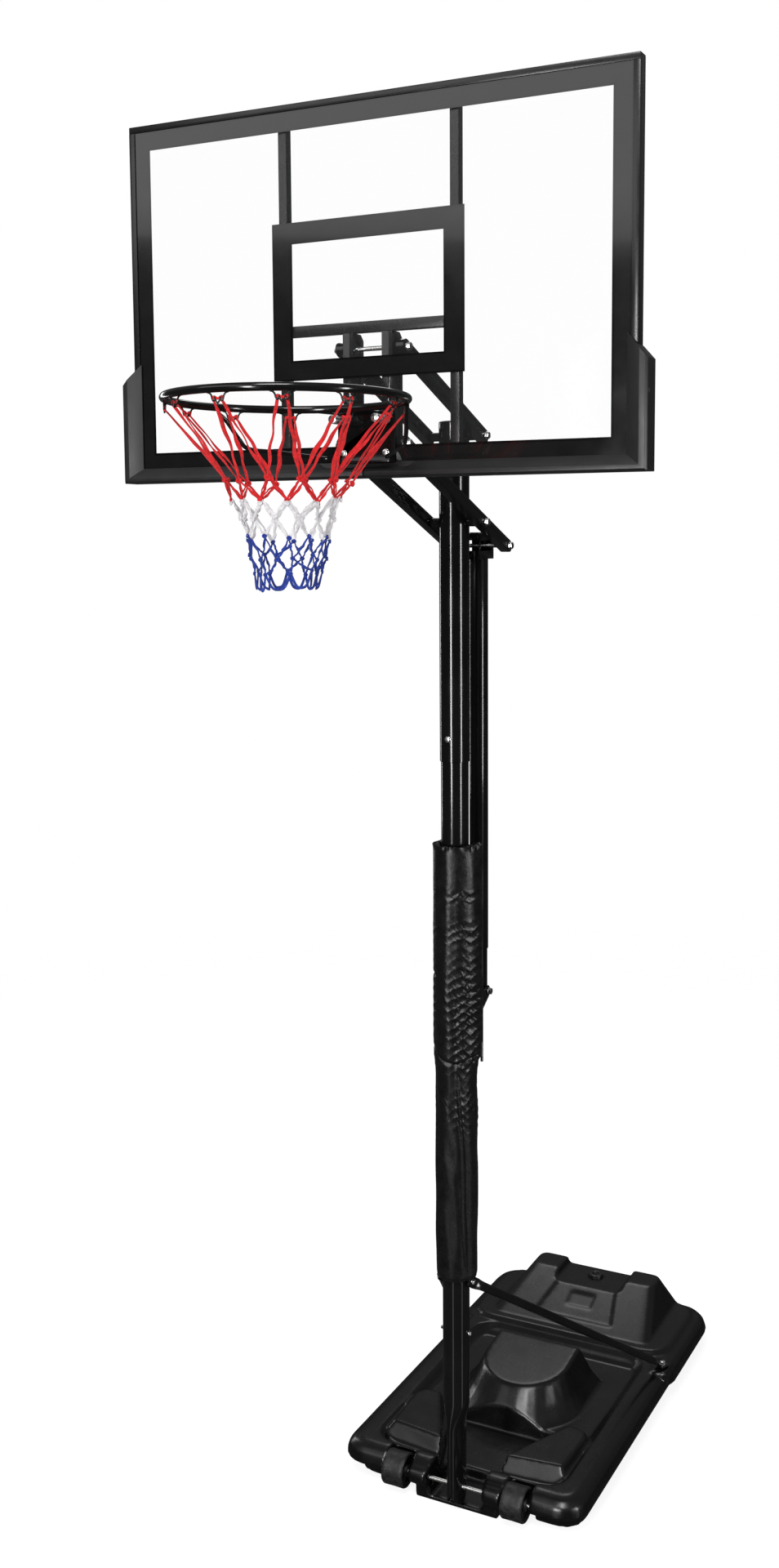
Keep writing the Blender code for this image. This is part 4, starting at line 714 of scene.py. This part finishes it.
def pad_wrinkle(angle, z):
    """How far the cover stands out or in, from the front (angle 0) round to the sides."""
    right = step_up(angle, 0.42, 7)
    left_edge = 1 - step_up(angle, -0.75, 6)
    crumpled = max(bell(z, 1.31, 0.105), 0.8 * bell(z, 1.19, 0.045), 0.8 * bell(z, 1.582, 0.012),
                   0.7 * bell(z, 1.49, 0.030), 0.45 * bell(z, 1.05, 0.050))
    wander = 0.010 * noise.noise(Vector((angle * 1.7, 0, z * 8)))
    u = (z + wander) / 0.0230 + (angle - 0.45) * 1.55
    v = (z + wander) / 0.0230 - (angle - 0.45) * 1.55
    diamonds = (ridge(u) * ridge(u) + ridge(v) * ridge(v) - 0.7) * 0.0031
    slant = z * 52 + angle * 2.6 + 1.6 * noise.noise(Vector((angle * 1.5, 3.1, z * 9)))
    fine = (ridge(slant) - 0.5) * 0.0022 * (0.4 + noise.noise(Vector((angle * 3, 8.0, z * 24))))
    folds = noise.noise(Vector((angle * 2.8 + z * 4, 7.7, z * 17))) * 0.0034
    drape = noise.noise(Vector((angle * 2.4, 1.3, z * 1.8))) * 0.0014
    lower = 1 - step_up(z, 1.12, 40)
    slack = noise.noise(Vector((angle * 2.2 + z * 5, 5.0, z * 9))) * 0.0022 * (0.3 + 0.7 * lower)
    # one long fold runs down the lower half, right of the middle
    fold_angle = 0.55 + 0.9 * (1.15 - z) + 0.05 * math.sin(z * 15)
    long_fold = bell(angle, fold_angle, 0.075) * 0.0046 * lower * (1 - bell(z, 0.62, 0.05))
    crease = -0.0042 * bell(z, 1.190 - 0.020 * math.cos((angle - 0.45) * 1.4), 0.0045)
    nick = -0.0030 * bell(z, 1.385, 0.0045) * left_edge
    strength = crumpled * (0.16 + 0.84 * right)
    upper = step_up(z, 1.185, 70)
    fuller = (0.0040 + 0.0085 * upper) * bell(angle, 1.83, 0.70)
    fuller *= 1 + 0.30 * noise.noise(Vector((angle * 1.6, 9.0, z * 11)))
    puckered = max(strength, 0.85 * crumpled * bell(angle, 0.50, 0.22))
    return (diamonds * puckered + (fine + folds) * (0.07 + strength) + drape + slack
            + long_fold + crease + nick + fuller)


PAD_THICKNESS = 0.0165
PAD_REACH = math.radians(133)      # half of the angle that the pad wraps round the pole
PAD_EDGE = 0.16                    # angle over which its long edges are rounded
PAD_ROWS, PAD_COLUMNS = 620, 150
PAD_FULLEST = 0.0135               # how far a fold may stand past the CAD solid


def pad_edge(angle):
    """1 over most of the pad, rounding off to 0 at its two long edges."""
    inward = min(1.0, (PAD_REACH - abs(angle)) / PAD_EDGE)
    return math.sqrt(max(0.0, 1 - (1 - inward) ** 2))


def build_pad():
    """A foam sleeve in a nylon cover, open along its back, with a gathered top hem."""
    bottom, top = low("pole_pad")[2], high("pole_pad")[2]
    outer = (high("pole_pad")[0] - low("pole_pad")[0]) / 2
    inner = outer - PAD_THICKNESS
    core = inner + 0.0085
    angles = [-PAD_REACH + 2 * PAD_REACH * column / PAD_COLUMNS
              for column in range(PAD_COLUMNS + 1)]
    mesh_edit = bmesh.new()
    rings = []
    for row in range(PAD_ROWS + 1):
        z = bottom + (top - bottom) * row / PAD_ROWS
        hem, foot = bell(z, top, 0.010), bell(z, bottom, 0.007)
        width = (outer - 0.0006 - 0.0050 * (1 - step_up(z, 1.17, 60))
                 + 0.0020 * bell(z, 0.86, 0.16))
        ring = []
        for angle in angles:
            radius = width + pad_wrinkle(angle, z)
            radius += hem * 0.0018 * math.sin(angle * 15 + 2 * math.sin(angle * 5)) - foot * 0.0022
            radius = core + (radius - core) * pad_edge(angle)
            radius = min(radius, outer + PAD_FULLEST)
            lift = 0.0
            if row == PAD_ROWS:
                lift = 0.0026 * math.sin(angle * 14 + 1.7 * math.sin(angle * 4)) - 0.0034
            ring.append(mesh_edit.verts.new((radius * math.sin(angle), -radius * math.cos(angle),
                                             z + lift)))
        for angle in reversed(angles):
            radius = inner + 0.0075 * (1 - pad_edge(angle))
            depth = 0.012 if row == PAD_ROWS else 0.0
            ring.append(mesh_edit.verts.new((radius * math.sin(angle), -radius * math.cos(angle),
                                             z - depth)))
        rings.append(ring)
    count = len(rings[0])
    for here, there in zip(rings, rings[1:]):
        for k in range(count):
            after = (k + 1) % count
            mesh_edit.faces.new((here[k], here[after], there[after], there[k]))
    half = count // 2
    for ring in (rings[0], rings[-1]):
        for k in range(half - 1):
            mesh_edit.faces.new((ring[k], ring[k + 1], ring[count - 2 - k], ring[count - 1 - k]))
    pad = from_bmesh("pole_pad_look", mesh_edit, 180)
    place(pad, "stand", NYLON, "pad", "pole_pad")


# ---------------------------------------------------------------- bolts, brackets, arms, lift
def build_hardware():
    """The bolts, spacers, axle and folded brackets."""
    for node, body, edge in (
            ("pole_joint_bolt", "stand", 0.0007), ("pole_lock_bolt", "stand", 0.0006),
            ("strut_top_bolt", "stand", 0.0007), ("strut_foot_bolt_left", "stand", 0.0007),
            ("strut_foot_bolt_right", "stand", 0.0007), ("lift_pivot_bolt", "stand", 0.0008),
            ("upper_pivot_bolt", "stand", 0.0008), ("lower_pivot_bolt", "stand", 0.0008),
            ("tail_bolt", "lower_arms", 0.0008), ("lower_board_bolt", "board", 0.0008),
            ("upper_board_bolt", "board", 0.0008), ("spring_bolt_left", "board", 0.0007),
            ("spring_bolt_right", "board", 0.0007), ("rim_bolt_left", "board", 0.0007),
            ("rim_bolt_right", "board", 0.0007)):
        softened(node, body, ZINC, "zinc", edge)
    for node in ("upper_spacer_left", "upper_spacer_right", "lower_spacer_left",
                 "lower_spacer_right"):
        middle = centre(node)
        half = (high(node)[0] - low(node)[0]) / 2
        sleeve = lathe(node + "_look", rounded_ends(0.0105, 0.0055, -half, half), middle, "X", 40)
        place(sleeve, "stand", ARM_COAT, "coated_steel", node)
    axle = high("axle")[0]
    middle = centre("axle")
    profile = [(0.0, axle), (0.0042, axle), (0.0055, axle - 0.0013), (0.0055, -axle + 0.0013),
               (0.0042, -axle), (0.0, -axle)]
    place(lathe("axle_look", profile, middle, "X", 32), "stand", ZINC, "zinc", "axle")
    softened("lift_foot_bracket", "stand", ARM_COAT, "coated_steel", 0.0012)
    softened("lift_yoke", "lift_outer", ARM_COAT, "coated_steel", 0.0010)
    softened("rim_bracket", "rim", COAT, "coated_steel", 0.0012)


def build_arms():
    for level in ("lower", "upper"):
        for side in ("left", "right"):
            softened("%s_arm_%s" % (level, side), level + "_arms", ARM_COAT, "coated_steel",
                     0.0036, 4)


CRANK_RADIUS = 0.0036
LIFT_TUBE_WALL = 0.0017


def build_lift():
    """The strut's two tubes and the bent crank that hangs beside them."""
    softened("lift_outer_tube", "lift_outer", COAT, "coated_steel", 0.0008, 2, 40)
    middle = centre("lift_inner_tube")
    radius = (high("lift_inner_tube")[0] - low("lift_inner_tube")[0]) / 2
    tube = lathe("lift_inner_look", rounded_ends(radius, radius - LIFT_TUBE_WALL,
                                                 low("lift_inner_tube")[2],
                                                 high("lift_inner_tube")[2]),
                 (middle.x, middle.y, 0), steps=48)
    place(tube, "stand", COAT, "coated_steel", "lift_inner_tube")
    crank_low, crank_high = low("crank"), high("crank")
    x = crank_high[0] - CRANK_RADIUS
    y = (crank_low[1] + crank_high[1]) / 2
    z = crank_high[2] - CRANK_RADIUS
    path = spline([(crank_low[0], y, z), (x - 0.010, y, z), (x - 0.003, y, z - 0.0005),
                   (x, y, z - 0.004), (x, y, z - 0.012), (x, y, crank_low[2])], 8)
    place(wire("crank_look", path, CRANK_RADIUS, 16, facing=(0, 1, 0)), "crank", ZINC, "zinc",
          "crank")


# ---------------------------------------------------------------- backboard
WINDOW_HALF_X = 0.543
WINDOW_LOW_Z, WINDOW_HIGH_Z = 2.6297, 3.2927
TARGET_OUTER = (0.2279, 2.7718, 3.1034)
TARGET_INNER = (0.1804, 2.8148, 3.0585)
BORDER_MARGIN = 0.0095             # from the frame's outer faces to the painted shadow gap that edges the print
# the border's outer band is painted shade: a dark strip for the shadow gap along the frame's lip
BORDER_SHADOW_GAP, BORDER_INNER_LINE, TARGET_LINE = 0.0080, 0.0050, 0.0040
PRINT_GAP = 0.00006
PRINT_THICKNESS = 0.00016
COVER_SCREW_Z = 2.716


def ink_and_shade_frame(name, outer, inner, y_front, y_back, look):
    """A flat rectangle with a rectangular window, for the print and for the painted shadow gap
    round it: (half width, low z, high z).
    """
    mesh_edit = bmesh.new()
    loops = []
    for half, z0, z1 in (outer, inner):
        corners = ((-half, z0), (half, z0), (half, z1), (-half, z1))
        loops.append([[mesh_edit.verts.new((x, y, z)) for x, z in corners]
                      for y in (y_front, y_back)])
    (outer_front, outer_back), (inner_front, inner_back) = loops
    for k in range(4):
        n = (k + 1) % 4
        mesh_edit.faces.new((outer_front[k], outer_front[n], inner_front[n], inner_front[k]))
        mesh_edit.faces.new((outer_back[k], outer_back[n], inner_back[n], inner_back[k]))
        mesh_edit.faces.new((outer_front[k], outer_front[n], outer_back[n], outer_back[k]))
        mesh_edit.faces.new((inner_front[k], inner_front[n], inner_back[n], inner_back[k]))
    place(from_bmesh(name, mesh_edit), "board", look, "clear_sheet")


def inset(area, amount):
    """An area drawn in by the amount on every side."""
    half, z0, z1 = area
    return half - amount, z0 + amount, z1 - amount


def build_board():
    """The clear sheet, its frame, supports and covers, and the print on its front, edged with a
    painted shadow gap along the frame's lip.
    """
    softened("board_sheet", "board", SHEET, "clear_sheet", 0.0005)
    for side in ("top", "bottom", "left", "right"):
        softened("frame_" + side, "board", FRAME_COAT, "coated_steel", 0.0007)
    for node in ("upright_left", "upright_right", "crossbar"):
        softened(node, "board", FRAME_COAT, "coated_steel", 0.0011, 3)
    for side in ("left", "right"):
        softened("board_channel_" + side, "board", ARM_COAT, "coated_steel", 0.0009)
        softened("cover_" + side, "board", COVER_PLASTIC, "cover", 0.0022, 3, 20)

    front = low("board_sheet")[1]
    y0, y1 = front - PRINT_GAP - PRINT_THICKNESS, front - PRINT_GAP
    border = inset((high("frame_right")[0], low("frame_bottom")[2], high("frame_top")[2]),
                   BORDER_MARGIN)
    window = (WINDOW_HALF_X, WINDOW_LOW_Z, WINDOW_HIGH_Z)
    # the border's outer line is painted shade, a dark band standing for the shadow gap along the
    # frame's lip; the other lines are print
    for name, outer, inner, outer_ink_and_shade, inner_line in (
            ("border", border, window, BORDER_SHADOW_GAP, BORDER_INNER_LINE),
            ("target", TARGET_OUTER, TARGET_INNER, TARGET_LINE, TARGET_LINE)):
        ink_outer, ink_inner = inset(outer, outer_ink_and_shade), inset(inner, -inner_line)
        ink_and_shade_frame(name + "_outer_ink_and_shade", outer, ink_outer, y0, y1, INK_LINE_AND_SHADE_GAP)
        ink_and_shade_frame(name + "_print", ink_outer, ink_inner, y0, y1, INK)
        ink_and_shade_frame(name + "_inner_line", ink_inner, inner, y0, y1, INK_LINE_AND_SHADE_GAP)

    for label, side in (("left", -1), ("right", 1)):
        profile = [(radius, side * height) for radius, height in (
            (0.0, 0.00015), (0.0030, 0.00015), (0.0040, 0.0001), (0.0040, -0.004), (0.0, -0.004))]
        screw = lathe("cover_screw_" + label, profile,
                      (side * high("cover_right")[0], front - 0.0060, COVER_SCREW_Z), "X", 20)
        place(screw, "board", ZINC, "zinc")


# ---------------------------------------------------------------- rim
RING_BOX = (low("rim_ring"), high("rim_ring"))
WIRE_RADIUS = 0.008
RING_RADIUS = (RING_BOX[1][0] - RING_BOX[0][0]) / 2 - WIRE_RADIUS
RING_Y = (RING_BOX[0][1] + RING_BOX[1][1]) / 2
RING_Z = RING_BOX[1][2] - WIRE_RADIUS
HOOKS = 12
HOOK_WIRE_RADIUS = 0.0018
BRACE_RADIUS = 0.0045
COIL_RADIUS, COIL_WIRE_RADIUS, COIL_TURNS = 0.0080, 0.0012, 9


def around(angle, radius, z):
    """A point round the rim's axis; angle 0 is straight ahead of the board."""
    return Vector((radius * math.sin(angle), RING_Y - radius * math.cos(angle), z))


def outward(point, index=0):
    """Straight away from the rim's axis; the index is there for sweep()."""
    return Vector((point.x, point.y - RING_Y, 0)).normalized()


def build_ring():
    """The ring of round bar with a wire hook under it for each loop of the net."""
    ring = [around(2 * math.pi * k / 144, RING_RADIUS, RING_Z) for k in range(144)]
    hoop = wire("rim_ring_look", ring, WIRE_RADIUS, 24, closed=True)
    place(hoop, "rim", COAT, "coated_steel", "rim_ring")
    mesh_edit = bmesh.new()
    # one half of a hook as (along the ring, below its centre), from its middle outwards
    half = [(0.0042, 0.0215), (0.0055, 0.0150), (0.0062, 0.0195), (0.0090, 0.0225),
            (0.0115, 0.0195), (0.0135, 0.0130), (0.0175, 0.0085), (0.0225, 0.0072)]
    shape = [(-spread, drop) for spread, drop in reversed(half)] + [(0.0, 0.0262)] + half
    for hook in range(HOOKS):
        turn = 2 * math.pi * hook / HOOKS
        points = [around(turn + spread / RING_RADIUS, RING_RADIUS - 0.001, RING_Z - drop)
                  for spread, drop in shape]
        sweep(mesh_edit, spline(points, 4), HOOK_WIRE_RADIUS, HOOK_WIRE_RADIUS, outward)
    place(from_bmesh("rim_hooks", mesh_edit, 60), "rim", COAT, "coated_steel")


def build_braces():
    """Bent rods from the sides of the ring down to the bracket."""
    for node, side in (("rim_brace_left", -1), ("rim_brace_right", 1)):
        route = [(0.2150, -0.655, 2.6868), (0.2060, -0.640, 2.672), (0.1930, -0.617, 2.638),
                 (0.1800, -0.600, 2.6185), (0.1420, -0.552, 2.6130), (0.0830, -0.484, 2.6035),
                 (0.0720, -0.470, 2.6020)]
        path = spline([(side * x, y, z) for x, y, z in route], 8)
        rod = wire(node + "_look", path, BRACE_RADIUS, 16)
        place(rod, "rim", COAT, "coated_steel", node)


def build_springs():
    """Coils round the upper bolts."""
    for side in ("left", "right"):
        node = "rim_spring_" + side
        middle = centre(node)
        y0, y1 = low(node)[1] + 0.0014, high(node)[1] - 0.0014
        count = COIL_TURNS * 20
        path = []
        for k in range(count + 1):
            t = k / count
            angle = 2 * math.pi * COIL_TURNS * t
            path.append(Vector((middle.x + COIL_RADIUS * math.cos(angle), y0 + (y1 - y0) * t,
                                middle.z + COIL_RADIUS * math.sin(angle))))
        coil = wire(node + "_look", path, COIL_WIRE_RADIUS, 8, facing=(0, 1, 0))
        coil.data.materials.append(SPRING)
        # one end sits on the rim's bracket and the other under the board's bolt head
        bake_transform(coil)
        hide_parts(node)


# ---------------------------------------------------------------- net
rng = random.Random(7)
ROWS = {                      # (radius, z, sideways wander) of each row of knots
    "hook": (0.2315, RING_Z - 0.0225, 0.0),
    "red": (0.1240, 2.5450, 0.05),
    "joint": (0.1040, 2.5080, 0.07),
    "white": (0.0920, 2.4720, 0.10),
    "band": (0.0800, 2.4330, 0.12),
    "blue": (0.0740, 2.3990, 0.16),
    "low": (0.0670, 2.3680, 0.20),
}


def knot_place(row, index, half_turn):
    """Where one knot of a row hangs, a little off its regular place."""
    radius, z, wander = ROWS[row]
    angle = 2 * math.pi * (index + (0.5 if half_turn else 0.0)) / HOOKS
    angle += rng.uniform(-wander, wander)
    return around(angle, radius * (1 + rng.uniform(-0.05, 0.05)), z + rng.uniform(-0.006, 0.006))


def strand(mesh_edit, start, end, half_width, half_depth, slack, turns=0.6):
    """A flat cord between two knots: it sags a little, wanders and twists on its way."""
    length = (end - start).length
    steps = max(8, int(length / 0.006))
    phase, swing = rng.uniform(0, 6.28), rng.uniform(-1, 1)
    wobble = length * slack
    path = []
    for step in range(steps + 1):
        t = step / steps
        point = start.lerp(end, t)
        bow = math.sin(math.pi * t)
        point += outward(point) * (-bow * wobble * 0.8)
        sideways = Vector((0, 0, 1)).cross(outward(point))
        wave = 0.45 * swing + 0.30 * math.sin(5.2 * math.pi * t + phase)
        point += sideways * wobble * bow * wave
        point.z -= bow * wobble * 0.5
        path.append(point)

    def facing(point, index):
        t = index / steps
        roll = swing * 0.5 + turns * math.sin(2.6 * math.pi * t + phase)
        side = Vector((0, 0, 1)).cross(outward(point))
        return outward(point) * math.cos(roll) + side * math.sin(roll)

    def taper(t):
        return 0.58 + 0.42 * math.sin(math.pi * t) + 0.14 * math.sin(11 * t + phase)

    sweep(mesh_edit, path, half_width, half_depth, facing, taper=taper)


def knot(mesh_edit, point, size, thickness):
    """An overhand knot: a cord wrapped one and a half times round itself."""
    normal = outward(point)
    side = Vector((0, 0, 1)).cross(normal)
    tilt = rng.uniform(-0.5, 0.5)
    path = []
    for step in range(19):
        angle = 2 * math.pi * 1.5 * step / 18
        path.append(point + side * size * math.cos(angle + tilt)
                    + Vector((0, 0, 1)) * size * 0.8 * math.sin(angle + tilt)
                    + normal * thickness * (0.9 * math.sin(angle * 0.5)))
    sweep(mesh_edit, path, thickness, thickness, outward)
    core = [point + Vector((0, 0, 1)) * size * (1 - 2 * t / 6) for t in range(7)]
    sweep(mesh_edit, core, size * 0.8, thickness, outward)


def build_net():
    """Twelve hooks carry red cords to a first row of knots; white and blue mesh follows."""
    places = {row: [knot_place(row, k, row in ("red", "white", "blue")) for k in range(HOOKS)]
              for row in ROWS if row != "hook"}
    red, white, blue = bmesh.new(), bmesh.new(), bmesh.new()
    up = Vector((0, 0, 1))
    radius, z, _ = ROWS["hook"]
    corner = 0.0090 / RING_RADIUS
    for k in range(HOOKS):
        turn = 2 * math.pi * k / HOOKS
        left = around(turn - corner, radius, z + 0.001)
        right = around(turn + corner, radius, z + 0.001)
        strand(red, right, places["red"][k], 0.0041, 0.0013, 0.035, 0.45)
        strand(red, left, places["red"][k - 1], 0.0041, 0.0013, 0.035, 0.45)
        over = spline([left - up * 0.003, left + up * 0.0065, (left + right) / 2 + up * 0.0030,
                       right + up * 0.0065, right - up * 0.003], 5)
        sweep(red, over, 0.0024, 0.0016, outward)
        knot(red, places["red"][k], 0.0050, 0.0024)
        for target in (places["joint"][k], places["joint"][(k + 1) % HOOKS]):
            strand(red, places["red"][k], target, 0.0030, 0.0012, 0.05)
            strand(red, places["red"][k], target + up * 0.002, 0.0018, 0.0011, -0.07)
        knot(red, places["joint"][k], 0.0032, 0.0017)
        for target in (places["white"][k], places["white"][k - 1]):
            strand(white, places["joint"][k] + up * 0.003, target, 0.0040, 0.0014, 0.07, 0.8)
        knot(white, places["joint"][k] - up * 0.006, 0.0036, 0.0018)
        knot(white, places["white"][k], 0.0044, 0.0021)
        for target in (places["band"][k], places["band"][(k + 1) % HOOKS]):
            strand(white, places["white"][k], target, 0.0036, 0.0014, 0.09, 0.8)
        knot(blue, places["band"][k], 0.0034, 0.0018)
        for target in (places["blue"][k], places["blue"][k - 1]):
            strand(blue, places["band"][k], target, 0.0027, 0.0014, 0.10, 0.9)
        knot(blue, places["blue"][k], 0.0033, 0.0017)
        for target in (places["low"][k], places["low"][(k + 1) % HOOKS]):
            strand(blue, places["blue"][k], target, 0.0027, 0.0014, 0.10, 0.9)
        knot(blue, places["low"][k], 0.0031, 0.0016)
        first, second = places["low"][k], places["low"][(k + 1) % HOOKS]
        dip = (first + second) / 2 - up * (0.030 + rng.uniform(-0.006, 0.004))
        dip += outward(dip) * rng.uniform(-0.012, 0.006)
        loop = spline([first, first.lerp(dip, 0.5) - up * 0.010, dip,
                       second.lerp(dip, 0.5) - up * 0.010, second], 6)
        sweep(blue, loop, 0.0027, 0.0015, outward)
    place(from_bmesh("net_red", red, 60), "rim", RED_CORD, "net_cord", "net")
    place(from_bmesh("net_white", white, 60), "rim", WHITE_CORD, "net_cord")
    place(from_bmesh("net_blue", blue, 60), "rim", BLUE_CORD, "net_cord")


# ---------------------------------------------------------------- assembly
def build():
    build_camera()
    build_stage()
    build_base()
    build_filler_cap()
    build_wheels()
    build_pole()
    build_struts()
    build_pad()
    build_hardware()
    build_arms()
    build_lift()
    build_board()
    build_ring()
    build_braces()
    build_springs()
    build_net()


build()
